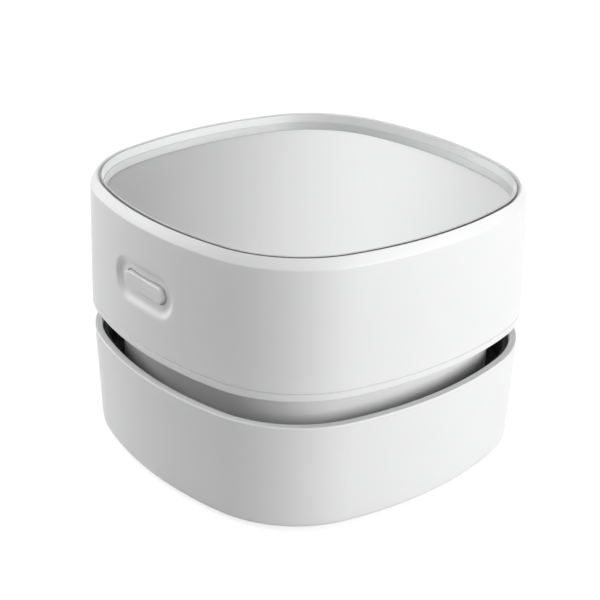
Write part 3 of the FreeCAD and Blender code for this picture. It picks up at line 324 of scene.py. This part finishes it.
def mouldedFinish(name, colour, roughness, grain=2600.0, grainDepth=0.004, ripple=90.0, rippleDepth=0.012,
                  tint=0.012, softEdge=0.0, specular=0.5, worn=None):
    material, tree, shader = startFinish(name)
    broad = noiseField(tree, ripple, moulded["bumpDetail"])
    fine = noiseField(tree, grain, moulded["bumpDetail"])
    darker = tuple(max(c - tint, 0.0) for c in colour)
    shade = blendColour(tree, noiseField(tree, *moulded["colourPatches"]), darker, colour)
    if worn:
        shade = edgeWear(tree, shade, worn)
    tree.links.new(shade, shader.inputs["Base Color"])
    patches = noiseField(tree, *moulded["glossPatches"])
    tree.links.new(remap(tree, patches, roughness - moulded["glossier"], roughness + moulded["duller"]),
                   shader.inputs["Roughness"])
    shader.inputs["Specular IOR Level"].default_value = specular
    bumpStack(tree, shader, [(broad, rippleDepth, moulded["rippleStrength"]),
                             (fine, grainDepth, moulded["grainStrength"])], softEdge)
    return material


metal = {"streakDetail": 4.0, "streakRoughness": 0.6, "stains": (60.0, 5.0), "stained": 0.8,
         "leastRoughness": 0.02, "strength": 0.3}


def metalFinish(name, colour, roughness, stretch=(1, 1, 1), streak=700.0, depth=0.002, scratch=0.05,
                softEdge=0.0):
    material, tree, shader = startFinish(name)
    shader.inputs["Metallic"].default_value = 1.0
    lines = noiseField(tree, streak, metal["streakDetail"], stretch, metal["streakRoughness"])
    stained = tuple(c * metal["stained"] for c in colour)
    tree.links.new(blendColour(tree, noiseField(tree, *metal["stains"]), stained, colour),
                   shader.inputs["Base Color"])
    tree.links.new(remap(tree, lines, max(roughness - scratch, metal["leastRoughness"]), roughness + scratch),
                   shader.inputs["Roughness"])
    bumpStack(tree, shader, [(lines, depth, metal["strength"])], softEdge)
    return material


# fine parallel brushing that draws reflections out into long streaks
brushed = {"map": "brush", "stretch": (0.4, 90.0, 1.0), "scale": 6.0, "detail": 4.0, "darker": 0.975,
           "smudges": (45.0, 4.0), "glossier": 0.015, "duller": 0.02, "depth": 0.0006, "strength": 0.3}


def brushedFinish(name, colour, roughness, anisotropy):
    material, tree, shader = startFinish(name)
    shader.inputs["Metallic"].default_value = 1.0
    shader.inputs["Anisotropic"].default_value = anisotropy
    place = tree.nodes.new("ShaderNodeUVMap")
    place.uv_map = brushed["map"]
    stretch = tree.nodes.new("ShaderNodeMapping")
    stretch.inputs["Scale"].default_value = brushed["stretch"]
    streaks = tree.nodes.new("ShaderNodeTexNoise")
    streaks.inputs["Scale"].default_value = brushed["scale"]
    streaks.inputs["Detail"].default_value = brushed["detail"]
    tree.links.new(place.outputs["UV"], stretch.inputs["Vector"])
    tree.links.new(stretch.outputs["Vector"], streaks.inputs["Vector"])
    lines = streaks.outputs["Fac"]
    darker = tuple(c * brushed["darker"] for c in colour)
    tree.links.new(blendColour(tree, lines, darker, colour), shader.inputs["Base Color"])
    smudge = noiseField(tree, *brushed["smudges"])
    tree.links.new(remap(tree, smudge, roughness - brushed["glossier"], roughness + brushed["duller"]),
                   shader.inputs["Roughness"])
    along = tree.nodes.new("ShaderNodeTangent")
    along.direction_type = "UV_MAP"
    along.uv_map = brushed["map"]
    tree.links.new(along.outputs["Tangent"], shader.inputs["Tangent"])
    bumpStack(tree, shader, [(lines, brushed["depth"], brushed["strength"])])
    return material


# gloss above the step in the tray's wall; below the step the colour is darkened as painted shade, standing in
# for the shade that falls on the lower band
tray = {"upper": (0.66, 0.662, 0.665), "lower": (0.53, 0.532, 0.535), "roughness": 0.22, "grainDepth": 0.002,
        "stepLevel": 57.1, "blend": 0.05}


def shadedTrayFinish(name):
    material = mouldedFinish(name, tray["upper"], tray["roughness"], grainDepth=tray["grainDepth"])
    tree = material.node_tree
    shader = next(n for n in tree.nodes if n.type == "BSDF_PRINCIPLED")
    split = tree.nodes.new("ShaderNodeSeparateXYZ")
    tree.links.new(objectSpot(tree), split.inputs["Vector"])
    # painted shade: below the step level the tray's colour is darkened to stand in for the shade that falls
    # there
    shadedBelowStep = remap(tree, split.outputs["Z"], 1.0, 0.0, (tray["stepLevel"] - tray["blend"]) * mm,
                  (tray["stepLevel"] + tray["blend"]) * mm)
    upper = shader.inputs["Base Color"].links[0].from_socket
    tree.links.new(coverColour(tree, upper, tray["lower"], shadedBelowStep), shader.inputs["Base Color"])
    return material


rubber = {"pores": (1500.0, 6.0), "poreDepth": 0.02, "poreStrength": 0.6, "dust": (140.0, 6.0),
          "dusty": 0.035, "worn": 0.6, "roughSpread": 0.08, "specular": 0.35}


def rubberFinish(name, colour, roughness=0.7):
    material, tree, shader = startFinish(name)
    pores = noiseField(tree, *rubber["pores"])
    dusty = tuple(min(c + rubber["dusty"], 1.0) for c in colour)
    shade = blendColour(tree, noiseField(tree, *rubber["dust"]), colour, dusty)
    worn = tuple(c * rubber["worn"] for c in colour)
    tree.links.new(edgeWear(tree, shade, worn), shader.inputs["Base Color"])
    tree.links.new(remap(tree, pores, roughness - rubber["roughSpread"], roughness + rubber["roughSpread"]),
                   shader.inputs["Roughness"])
    shader.inputs["Specular IOR Level"].default_value = rubber["specular"]
    bumpStack(tree, shader, [(pores, rubber["poreDepth"], rubber["poreStrength"])])
    return material


foam = {"cells": 1900.0, "wallAt": 0.7, "pit": 0.35, "pitRoughness": 0.98, "wallRoughness": 0.85,
        "depth": 0.12, "strength": 0.8}


def foamFinish(name, colour):
    material, tree, shader = startFinish(name)
    height = remap(tree, cellField(tree, foam["cells"]), 0.0, 1.0, 0.0, foam["wallAt"])
    tree.links.new(blendColour(tree, height, tuple(c * foam["pit"] for c in colour), colour),
                   shader.inputs["Base Color"])
    tree.links.new(remap(tree, height, foam["pitRoughness"], foam["wallRoughness"]),
                   shader.inputs["Roughness"])
    bumpStack(tree, shader, [(height, foam["depth"], foam["strength"])])
    return material


# pressed fibres, with the faint crossing lines of a backing net
felt = {"net": 520.0, "netDistortion": 1.2, "netDepth": 0.08, "netStrength": 0.5, "fibres": (2200.0, 8.0),
        "fibreRoughness": 0.7, "fibreDepth": 0.05, "fibreStrength": 0.8, "dust": (120.0, 5.0), "dusty": 0.88,
        "roughFrom": 0.85, "roughTo": 1.0, "sheen": 0.3, "specular": 0.15}


def feltFinish(name, colour):
    material, tree, shader = startFinish(name)
    nets = []
    for axis in ("X", "Y"):
        wave = tree.nodes.new("ShaderNodeTexWave")
        wave.bands_direction = axis
        wave.inputs["Scale"].default_value = felt["net"]
        wave.inputs["Distortion"].default_value = felt["netDistortion"]
        tree.links.new(objectSpot(tree), wave.inputs["Vector"])
        nets.append(wave.outputs["Fac"])
    net = combine(tree, "MULTIPLY", *nets)
    fibre = noiseField(tree, *felt["fibres"], roughness=felt["fibreRoughness"])
    dusty = tuple(c * felt["dusty"] for c in colour)
    tree.links.new(blendColour(tree, noiseField(tree, *felt["dust"]), dusty, colour),
                   shader.inputs["Base Color"])
    tree.links.new(remap(tree, fibre, felt["roughFrom"], felt["roughTo"]), shader.inputs["Roughness"])
    shader.inputs["Sheen Weight"].default_value = felt["sheen"]
    shader.inputs["Specular IOR Level"].default_value = felt["specular"]
    bumpStack(tree, shader, [(net, felt["netDepth"], felt["netStrength"]),
                             (fibre, felt["fibreDepth"], felt["fibreStrength"])])
    return material


# solder mask over raised tracks, with tinned pads
board = {"tracks": 260.0, "trackGap": 0.02, "trackShade": 0.25, "trackDepth": 0.03, "trackStrength": 0.6,
         "lighter": 1.7, "pads": 420.0, "padScatter": 0.35, "padRadius": 0.14, "padEdge": 0.18,
         "gloss": (300.0, 4.0), "roughFrom": 0.28, "roughTo": 0.4, "softEdge": 0.1}


def boardFinish(name, colour, tin):
    material, tree, shader = startFinish(name)
    tracks = tree.nodes.new("ShaderNodeTexBrick")
    tracks.inputs["Scale"].default_value = board["tracks"]
    tracks.inputs["Mortar Size"].default_value = board["trackGap"]
    tracks.inputs["Color1"].default_value = (0, 0, 0, 1)
    tracks.inputs["Color2"].default_value = (board["trackShade"],) * 3 + (1,)
    tracks.inputs["Mortar"].default_value = (1, 1, 1, 1)
    tree.links.new(objectSpot(tree), tracks.inputs["Vector"])
    pad = remap(tree, cellField(tree, board["pads"], board["padScatter"]), 1.0, 0.0, board["padRadius"],
                board["padEdge"])
    lighter = tuple(c * board["lighter"] for c in colour)
    mask = blendColour(tree, tracks.outputs["Fac"], colour, lighter)
    tree.links.new(coverColour(tree, mask, tin, pad), shader.inputs["Base Color"])
    tree.links.new(pad, shader.inputs["Metallic"])
    tree.links.new(remap(tree, noiseField(tree, *board["gloss"]), board["roughFrom"], board["roughTo"]),
                   shader.inputs["Roughness"])
    bumpStack(tree, shader, [(tracks.outputs["Fac"], board["trackDepth"], board["trackStrength"])],
              board["softEdge"])
    return material


lens = {"haze": (900.0, 3.0), "hazy": (0.86, 0.88, 0.9), "clear": (0.95, 0.96, 0.97), "transmission": 0.9,
        "bending": 1.49, "roughFrom": 0.08, "roughTo": 0.2, "depth": 0.005, "strength": 0.3}


def lensFinish(name):
    material, tree, shader = startFinish(name)
    shader.inputs["Transmission Weight"].default_value = lens["transmission"]
    shader.inputs["IOR"].default_value = lens["bending"]
    haze = noiseField(tree, *lens["haze"])
    tree.links.new(blendColour(tree, haze, lens["hazy"], lens["clear"]), shader.inputs["Base Color"])
    tree.links.new(remap(tree, haze, lens["roughFrom"], lens["roughTo"]), shader.inputs["Roughness"])
    bumpStack(tree, shader, [(haze, lens["depth"], lens["strength"])])
    return material


whiteShell = mouldedFinish("whiteShell", (0.87, 0.872, 0.875), 0.36, worn=(0.9, 0.9, 0.9))
# the tray's finish carries painted shade on its wall below the step
trayGlossWithShade = shadedTrayFinish("trayGlossWithShade")
whiteInner = mouldedFinish("whiteInner", (0.8, 0.805, 0.81), 0.5, grain=1800.0, grainDepth=0.008,
                           softEdge=0.15)
buttonWhite = mouldedFinish("buttonWhite", (0.86, 0.862, 0.866), 0.34, grainDepth=0.003)
linerBlack = mouldedFinish("linerBlack", (0.045, 0.045, 0.046), 0.68, grain=1600.0, grainDepth=0.02,
                           tint=0.012, specular=0.22)
partBlack = mouldedFinish("partBlack", (0.03, 0.03, 0.032), 0.45, grainDepth=0.006, tint=0.01, softEdge=0.12,
                          worn=(0.07, 0.07, 0.07))
fanGrey = mouldedFinish("fanGrey", (0.16, 0.165, 0.175), 0.42, softEdge=0.12, worn=(0.24, 0.245, 0.25))
filterGrey = mouldedFinish("filterGrey", (0.2, 0.205, 0.215), 0.5, grainDepth=0.008, softEdge=0.15,
                           worn=(0.28, 0.28, 0.29))
cellWrap = mouldedFinish("cellWrap", (0.06, 0.16, 0.38), 0.22, ripple=160.0, rippleDepth=0.04, tint=0.03)
wireRed = mouldedFinish("wireRed", (0.42, 0.03, 0.03), 0.38, tint=0.04)
wireBlack = mouldedFinish("wireBlack", (0.02, 0.02, 0.022), 0.38, tint=0.008)
fibreGrey = mouldedFinish("fibreGrey", (0.1, 0.1, 0.105), 0.4, grain=900.0, tint=0.03)
mirrorSilver = brushedFinish("mirrorSilver", (0.78, 0.782, 0.785), 0.3, 0.85)
screwSteel = metalFinish("screwSteel", (0.58, 0.585, 0.6), 0.34, softEdge=0.08)
motorSteel = metalFinish("motorSteel", (0.64, 0.645, 0.66), 0.36, (1, 1, 18), 500.0, 0.004, 0.07, 0.1)
nickelStrip = metalFinish("nickelStrip", (0.7, 0.68, 0.64), 0.21, (14, 1, 1), softEdge=0.05)
brassTurned = metalFinish("brassTurned", (0.74, 0.56, 0.27), 0.21, (1, 1, 22), softEdge=0.05)
copperBar = metalFinish("copperBar", (0.78, 0.42, 0.26), 0.34, (1, 1, 22), softEdge=0.05)
magnetDark = metalFinish("magnetDark", (0.1, 0.1, 0.11), 0.55, streak=1500.0, depth=0.02)
sealBlack = rubberFinish("sealBlack", (0.022, 0.022, 0.023))
# painted shade: the dark band round the tray's lip stands in for the shadow in the gap between shell and tray
shadowGapDark = rubberFinish("shadowGapDark", (0.1, 0.1, 0.102), 0.5)
footRubber = rubberFinish("footRubber", (0.09, 0.09, 0.095), 0.75)
sleeveFoam = foamFinish("sleeveFoam", (0.06, 0.06, 0.06))
filterFelt = feltFinish("filterFelt", (0.8, 0.8, 0.77))
boardGreen = boardFinish("boardGreen", (0.02, 0.12, 0.05), (0.75, 0.72, 0.66))
lensClear = lensFinish("lensClear")
print("finishes ready")


# the upper half of the motor head: a half is taken across the flats, a level from the table up
shell = {"low": 31.9, "high": 59.1, "bottomHalf": 43.0, "bottomLevel": 30.1, "topHalf": 42.25,
         "bevelLevel": 57.1, "bevelRound": 0.7, "openHalf": 40.3, "lipEdge": 0.6, "lipRound": 0.12,
         "trayBase": 53.5, "ledge": 1.2, "ledgeHeight": 1.5, "wall": 1.75, "wallTop": 49.0,
         "groove": 0.15, "grooveDepth": 0.4, "roundSteps": 8}
# the hollow round the button, and the patch of shell that is drawn finely to carry it
dish = {"length": 20.8, "width": 10.2, "depth": 0.95, "slope": 2.15, "level": 44.5,
        "rowReach": 6.3, "rowStep": 0.3, "patchHalf": 12, "patchReach": 6.4, "patchDepth": 1.2, "skin": 0.05}
button = {"length": 13.6, "width": 3.5, "gap": 0.35, "proud": -0.4, "round": 0.28, "roundSteps": 8,
          "crown": 0.04, "crownRows": ((0.7, 1.0), (1.0, 1.5)), "back": -38.0,
          "flangeFront": -39.5, "flangeBack": -38.5, "flangeExtra": 3.4}
port = {"length": 9.4, "width": 3.8, "level": 45.45, "lightPlace": 10.0, "lightRadius": 1.05}
cut = {"inside": 38, "outside": 45}   # a cutter through the wall runs between these


def shellHalf(level):
    share = (level - shell["bottomLevel"]) / (shell["bevelLevel"] - shell["bottomLevel"])
    return shell["bottomHalf"] + (shell["topHalf"] - shell["bottomHalf"]) * share


def dishDepth(x, z):
    # soft edged pill hollow round the button
    straight = (dish["length"] - dish["width"]) / 2
    inside = dish["width"] / 2 - math.hypot(max(abs(x) - straight, 0.0), z - dish["level"])
    share = min(max(inside / dish["slope"], 0.0), 1.0)
    return dish["depth"] * share * share * (3 - 2 * share)


def pressDish(bm):
    # moves the outer skin of the front face in by the hollow's depth
    nearest = -(shellHalf(dish["level"]) - shell["wall"] / 2) * mm + dish["patchDepth"] * mm
    for vert in bm.verts:
        x, y, z = vert.co
        beside, above = abs(x) < dish["patchHalf"] * mm, abs(z / mm - dish["level"]) < dish["patchReach"]
        if y < nearest and beside and above:
            outward = math.hypot(x / mm, y / mm - sideReach) - sideReach
            if outward > shellHalf(z / mm) - dish["skin"]:
                vert.co.y += dishDepth(x / mm, z / mm) * mm


def pillBlock(length, width, level, near, far):
    return makePiece("block", stackPill([(near, 0), (far, 0)], length, width, level))


def rodBlock(radius, x, z, near, far):
    bm = bmesh.new()
    latheInto(bm, [(radius, near), (radius, far)])
    bm.transform(Matrix.Translation((x * mm, 0, z * mm)) @ Matrix.Rotation(math.radians(-90), 4, "X"))
    return makePiece("block", bm)


def makeHeadShell():
    low, base = shell["low"], shell["trayBase"]
    openHalf, ledgeHalf = shell["openHalf"], shell["openHalf"] - shell["ledge"]
    section = [(shellHalf(low) - shell["grooveDepth"], low), (shellHalf(low), low + shell["groove"])]
    level = dish["level"] - dish["rowReach"]
    while level < dish["level"] + dish["rowReach"]:
        section.append((shellHalf(level), level))
        level += dish["rowStep"]
    section += [(shell["topHalf"], shell["bevelLevel"], shell["bevelRound"]),
                (openHalf + shell["lipEdge"], shell["high"], shell["lipRound"]),
                (openHalf, shell["high"] - shell["lipEdge"]), (openHalf, base),
                (ledgeHalf, base), (ledgeHalf, base - shell["ledgeHeight"]),
                (shellHalf(shell["wallTop"]) - shell["wall"], shell["wallTop"]),
                (shellHalf(low) - shell["wall"], low)]
    bm = sweepRing(easeSection(section, shell["roundSteps"]), ringAngles((90, 270)))
    pressDish(bm)
    piece = makePiece("headShell", bm)
    slot = pillBlock(button["length"] + 2 * button["gap"], button["width"] + 2 * button["gap"],
                     dish["level"], -cut["outside"], -cut["inside"])
    socket = pillBlock(port["length"], port["width"], port["level"], cut["inside"], cut["outside"])
    light = rodBlock(port["lightRadius"], port["lightPlace"], port["level"], cut["inside"], cut["outside"])
    carve(piece, [slot, socket, light])
    settle(piece, whiteShell, "head", ["upper_shell"])


def makePowerPill():
    face, edge = -shellHalf(dish["level"]) - button["proud"], button["round"]
    rows = [(button["back"], 0.0), (face + edge, 0.0)]
    for k in range(1, button["roundSteps"] + 1):
        a = math.radians(90 * k / button["roundSteps"])
        rows.append((face + edge * (1 - math.sin(a)), edge * (1 - math.cos(a))))
    rows += [(face - button["crown"] * share, inset) for share, inset in button["crownRows"]]
    piece = makePiece("powerPill", stackPill(rows, button["length"], button["width"], dish["level"]))
    flange = pillBlock(button["length"] + button["flangeExtra"], button["width"] + button["flangeExtra"],
                       dish["level"], button["flangeFront"], button["flangeBack"])
    carve(piece, [flange], "UNION")
    settle(piece, buttonWhite, "button", ["power_button"])


plate = {"half": 39.23, "low": 54.7, "high": 55.3, "edge": 0.15, "edgeSteps": 4, "margin": 1.0, "steps": 40,
         "brushing": 139.8, "brushTile": 80}


def makeSilverPlate():
    section = [(plate["half"], plate["low"]), (plate["half"], plate["high"], plate["edge"]),
               (plate["half"] - plate["margin"], plate["high"])]
    angles = ringAngles(sideSteps=plate["steps"], cornerSteps=plate["steps"])
    bm = sweepRing(easeSection(section, plate["edgeSteps"], False), angles, False)
    turn = math.radians(plate["brushing"])
    brush = bm.loops.layers.uv.new(brushed["map"])
    for face in bm.faces:
        for loop in face.loops:
            x, y = loop.vert.co.x / mm, loop.vert.co.y / mm
            loop[brush].uv = ((x * math.cos(turn) + y * math.sin(turn)) / plate["brushTile"] + 0.5,
                              (y * math.cos(turn) - x * math.sin(turn)) / plate["brushTile"] + 0.5)
    settle(makePiece("silverPlate", bm), mirrorSilver, "head", ["top_plate"])


# a thin dark band round the tray's lip that stands in for the shadow in the gap between shell and tray:
# painted shade, drawn as a fine line where it faces the eye
shadowGapBand = {"inner": 40.0, "outer": 40.15, "low": 57.4, "high": 58.88, "fall": 0.15, "sideSteps": 30,
        "cornerSteps": 40}


def makeShadowGapRing():
    section = [(shadowGapBand["inner"], shadowGapBand["low"]), (shadowGapBand["inner"], shadowGapBand["high"]),
               (shadowGapBand["outer"], shadowGapBand["high"] - shadowGapBand["fall"]), (shadowGapBand["outer"], shadowGapBand["low"])]
    bm = sweepRing(section, ringAngles(sideSteps=shadowGapBand["sideSteps"], cornerSteps=shadowGapBand["cornerSteps"]))
    settle(makePiece("shadowGapRing", bm), shadowGapDark, "head", ["tray_trim"])


# round rubber pads with a dimple in the middle of the sole
pads = {"place": 27.29, "radius": 2.6, "seatTop": 1.4, "edge": 0.45, "edgeSteps": 6, "dimple": 1.1,
        "dimpleHeight": 0.1, "dimpleSlope": 0.25, "steps": 40}


def makeGlidePads():
    rows = [(pads["dimple"], pads["dimpleHeight"]), (pads["dimple"] + pads["dimpleSlope"], 0.0)]
    for k in range(pads["edgeSteps"] + 1):
        a = math.radians(90 * k / pads["edgeSteps"])
        rows.append((pads["radius"] - pads["edge"] + pads["edge"] * math.sin(a),
                     pads["edge"] - pads["edge"] * math.cos(a)))
    rows.append((pads["radius"], pads["seatTop"]))
    bm = bmesh.new()
    for sx in (-1, 1):
        for sy in (-1, 1):
            latheInto(bm, rows, sx * pads["place"], sy * pads["place"], pads["steps"])
    settle(makePiece("glidePads", bm), footRubber, "cup", ["glide_feet"])


# every tuft is a bundle of stiff fibres that lean apart a little; rows are (radius, tufts)
bristles = {"rows": [(17.0, 24), (22.0, 32)], "fibres": 18, "bundle": 0.52, "turn": 2.4, "radius": 0.1,
            "sides": 5, "shares": (0.0, 0.5, 1.0), "spread": 0.62, "leanFrom": 0.1, "leanTo": 0.35,
            "root": 1.6, "tip": 0.12, "tipUneven": 0.15, "seed": 7}


def makeBristleTufts():
    chance = random.Random(bristles["seed"])
    bm = bmesh.new()
    corners = [2 * math.pi * m / bristles["sides"] for m in range(bristles["sides"])]
    for rowRadius, count in bristles["rows"]:
        for i in range(count):
            a = 2 * math.pi * i / count
            cx, cy = rowRadius * math.cos(a), rowRadius * math.sin(a)
            for k in range(bristles["fibres"]):
                r = bristles["bundle"] * math.sqrt((k + 0.5) / bristles["fibres"])
                dx, dy = r * math.cos(bristles["turn"] * k), r * math.sin(bristles["turn"] * k)
                lean = bristles["spread"] * chance.uniform(bristles["leanFrom"], bristles["leanTo"])
                tip = bristles["tip"] + chance.uniform(0.0, bristles["tipUneven"])
                rings = []
                for share in bristles["shares"]:
                    z = bristles["root"] + (tip - bristles["root"]) * share
                    x, y = cx + dx * (1 + lean * share * share), cy + dy * (1 + lean * share * share)
                    rings.append([bm.verts.new(((x + bristles["radius"] * math.cos(c)) * mm,
                                                (y + bristles["radius"] * math.sin(c)) * mm, z * mm))
                                  for c in corners])
                skinRings(bm, rings)
    settle(makePiece("bristleTufts", bm), fibreGrey, "cup", ["bristle_tufts"])


makeHeadShell()
makePowerPill()
makeSilverPlate()
makeShadowGapRing()
makeGlidePads()
makeBristleTufts()

# the rest keeps its shape and takes a finish
nodeFinish = {
    "dust_bowl": whiteShell, "lower_cover": whiteShell, "top_tray": trayGlossWithShade, "cup_liner": linerBlack,
    "suction_plate": whiteInner, "base_screws": screwSteel, "neck_seal": sealBlack,
    "case_screws": screwSteel, "fan_cover": whiteInner, "fan_cover_screws": screwSteel, "impeller": fanGrey,
    "filter_frame": filterGrey, "filter_media": filterFelt, "filter_gasket": sealBlack,
    "chassis": whiteInner, "chassis_screws": screwSteel, "motor_can": motorSteel, "motor_bush": brassTurned,
    "motor_end_cap": partBlack, "motor_terminals": copperBar, "motor_magnets": magnetDark,
    "armature": motorSteel, "commutator": copperBar, "motor_shaft": motorSteel, "motor_screws": screwSteel,
    "motor_sleeve": sleeveFoam, "battery_cell": cellWrap, "battery_tabs": nickelStrip,
    "main_board": boardGreen, "board_parts": partBlack, "board_screws": screwSteel,
    "usb_socket": nickelStrip, "usb_tongue": partBlack, "charge_lens": lensClear,
    "switch_plunger": buttonWhite, "push_switch": partBlack, "switch_board": boardGreen,
    "motor_leads": wireRed, "battery_leads": wireRed, "switch_leads": wireBlack,
}
for nodeName, finish in nodeFinish.items():
    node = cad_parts[nodeName]
    node.data.materials.clear()
    node.data.materials.append(finish)
print("finished", len(nodeFinish), "carried nodes")


def backdropRays(tree):
    # 1 for the rays that should meet a white backdrop: straight, mirrored, or through glass
    path = tree.nodes.new("ShaderNodeLightPath")
    seen = path.outputs["Is Camera Ray"]
    for rayName in ("Is Glossy Ray", "Is Transmission Ray"):
        seen = combine(tree, "MAXIMUM", seen, path.outputs[rayName])
    return seen


# grey paper that the camera sees as white; distances from the middle and the size are in metres
floorLook = {"size": 6.0, "squares": 8, "colour": 0.45, "glow": 0.76, "clearFrom": 0.15, "clearAt": 0.6}


def makeFloor():
    bm = bmesh.new()
    bmesh.ops.create_grid(bm, x_segments=floorLook["squares"], y_segments=floorLook["squares"],
                          size=floorLook["size"] / 2)
    floor = makePiece("floor", bm)
    material = bpy.data.materials.new("floorPaper")
    tree = clearTree(material)
    paper = tree.nodes.new("ShaderNodeBsdfDiffuse")
    paper.inputs["Color"].default_value = (floorLook["colour"],) * 3 + (1,)
    place = tree.nodes.new("ShaderNodeNewGeometry")
    reach = tree.nodes.new("ShaderNodeVectorMath")
    reach.operation = "LENGTH"
    tree.links.new(place.outputs["Position"], reach.inputs[0])
    clearing = remap(tree, reach.outputs["Value"], floorLook["glow"], 1.0, floorLook["clearFrom"],
                     floorLook["clearAt"])   # plain white away from the object
    glow = tree.nodes.new("ShaderNodeEmission")
    tree.links.new(combine(tree, "MULTIPLY", backdropRays(tree), clearing), glow.inputs["Strength"])
    both = tree.nodes.new("ShaderNodeAddShader")
    output = tree.nodes.new("ShaderNodeOutputMaterial")
    tree.links.new(paper.outputs["BSDF"], both.inputs[0])
    tree.links.new(glow.outputs["Emission"], both.inputs[1])
    tree.links.new(both.outputs["Shader"], output.inputs["Surface"])
    floor.data.materials.append(material)


room = {"light": 0.2, "backdrop": 1.0}


def makeRoom():
    world = bpy.data.worlds.new("room")
    bpy.context.scene.world = world
    tree = clearTree(world)
    strength = remap(tree, backdropRays(tree), room["light"], room["backdrop"], 0.0, 1.0)
    background = tree.nodes.new("ShaderNodeBackground")
    background.inputs["Color"].default_value = (1, 1, 1, 1)
    tree.links.new(strength, background.inputs["Strength"])
    output = tree.nodes.new("ShaderNodeOutputWorld")
    tree.links.new(background.outputs["Background"], output.inputs["Surface"])


# square lamps that all face the middle of the case, in degrees and metres
lampAim = Vector((0, 0, 0.03))
lamps = {
    "sidePanel": {"azimuth": 35, "height": 18, "distance": 0.8, "size": 0.5, "power": 2.68},
    "facePanel": {"azimuth": 5, "height": 14, "distance": 0.8, "size": 0.4, "power": 2.64},
    "rimPanel": {"azimuth": -160, "height": 14, "distance": 0.8, "size": 0.4, "power": 1.06},
    "edgePanel": {"azimuth": -140, "height": 30, "distance": 0.8, "size": 0.4, "power": 1.98},
    "topPanel": {"azimuth": -130, "height": 75, "distance": 0.8, "size": 0.3, "power": 1.42},
}


def makeLamp(name, look):
    light = bpy.data.lights.new(name, "AREA")
    light.shape = "SQUARE"
    light.size = look["size"]
    light.energy = look["power"]
    around, above = math.radians(look["azimuth"]), math.radians(look["height"])
    away = Vector((math.cos(above) * math.cos(around), math.cos(above) * math.sin(around), math.sin(above)))
    lamp = addObject(name, light)
    lamp.location = away * look["distance"] + lampAim
    lamp.rotation_mode = "QUATERNION"
    lamp.rotation_quaternion = (-away).to_track_quat("-Z", "Y")


# a curved sheet behind the case that bends over it, grey to white across, for the silver plate to mirror;
# the curve is (distance, height) in metres and the shades are (place across, shade)
sheet = {"turn": 50.19, "width": 0.5, "strength": 1.275,
         "curve": [(0.5, -0.02), (0.52, 0.3), (0.5, 0.6), (0.4, 0.85), (0.2, 1.0), (-0.1, 1.05),
                   (-0.4, 0.95)],
         "shades": [(0.2, 0.2), (0.32, 0.35), (0.42, 0.57), (0.5, 0.8), (0.58, 0.95), (0.65, 0.92),
                    (0.75, 0.68)]}


def shadeGlow(name):
    material = bpy.data.materials.new(name)
    tree = clearTree(material)
    spot = tree.nodes.new("ShaderNodeUVMap")
    split = tree.nodes.new("ShaderNodeSeparateXYZ")
    ramp = tree.nodes.new("ShaderNodeValToRGB")
    stops = ramp.color_ramp.elements
    while len(stops) < len(sheet["shades"]):
        stops.new(0.5)
    for stop, (position, shade) in zip(stops, sheet["shades"]):
        stop.position = position
        stop.color = (shade, shade, shade, 1)
    glow = tree.nodes.new("ShaderNodeEmission")
    glow.inputs["Strength"].default_value = sheet["strength"]
    output = tree.nodes.new("ShaderNodeOutputMaterial")
    tree.links.new(spot.outputs["UV"], split.inputs["Vector"])
    tree.links.new(split.outputs["X"], ramp.inputs["Fac"])
    tree.links.new(ramp.outputs["Color"], glow.inputs["Color"])
    tree.links.new(glow.outputs["Emission"], output.inputs["Surface"])
    return material


def makeShadeSheet():
    a = math.radians(sheet["turn"])
    away = Vector((-math.sin(a), math.cos(a), 0))
    right = Vector((math.cos(a), math.sin(a), 0))
    bm = bmesh.new()
    across = bm.loops.layers.uv.new("across")
    rows = []
    for distance, height in sheet["curve"]:
        middle = away * distance + Vector((0, 0, height))
        rows.append([bm.verts.new(middle + right * (side * sheet["width"] / 2)) for side in (-1, 1)])
    for low, high in zip(rows, rows[1:]):
        face = bm.faces.new((low[0], low[1], high[1], high[0]))
        for loop, u in zip(face.loops, (0, 1, 1, 0)):
            loop[across].uv = (u, 0)
    piece = makePiece("shadeSheet", bm)
    piece.data.materials.append(shadeGlow("shadeSheet"))
    piece.visible_camera = False
    piece.visible_shadow = False
    piece.visible_diffuse = False


# angles in degrees, shifts and distance in millimetres
view = {"turn": -50.19, "tilt": 25.05, "roll": -1.0467, "shiftX": 0.655, "shiftY": -26.22, "distance": 306.91,
        "footRise": 0.8, "lens": 79.77, "sensor": 36.0, "near": 0.01}


def makeCamera():
    turn, tilt, roll = (math.radians(view[k]) for k in ("turn", "tilt", "roll"))
    spin = Matrix(((math.cos(turn), -math.sin(turn), 0), (math.sin(turn), math.cos(turn), 0), (0, 0, 1)))
    look = Matrix(((1, 0, 0), (0, math.sin(tilt), math.cos(tilt)), (0, math.cos(tilt), -math.sin(tilt))))
    lean = Matrix(((math.cos(roll), -math.sin(roll), 0), (math.sin(roll), math.cos(roll), 0), (0, 0, 1)))
    axes = lean @ look @ spin
    place = -(axes.transposed() @ Vector((view["shiftX"], view["shiftY"], view["distance"])))
    place.z += view["footRise"]
    lensData = bpy.data.cameras.new("mainCamera")
    lensData.lens = view["lens"]
    lensData.sensor_width = view["sensor"]
    lensData.clip_start = view["near"]
    camera = addObject("mainCamera", lensData)
    right, up, ahead = axes[0], axes[1], axes[2]
    camera.matrix_world = Matrix(((right.x, up.x, -ahead.x, place.x * mm),
                                  (right.y, up.y, -ahead.y, place.y * mm),
                                  (right.z, up.z, -ahead.z, place.z * mm), (0, 0, 0, 1)))
    bpy.context.scene.camera = camera


makeFloor()
makeRoom()
for lampName, lampLook in lamps.items():
    makeLamp(lampName, lampLook)
makeShadeSheet()
# the low wall round the plate stays out of mirror rays, so the brushing shows the room alone
for wallPiece in (bpy.data.objects["headShell"], bpy.data.objects["shadowGapRing"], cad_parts["top_tray"]):
    wallPiece.visible_glossy = False
makeCamera()
bpy.context.scene.view_settings.view_transform = "Standard"
print("floor, light and camera ready")
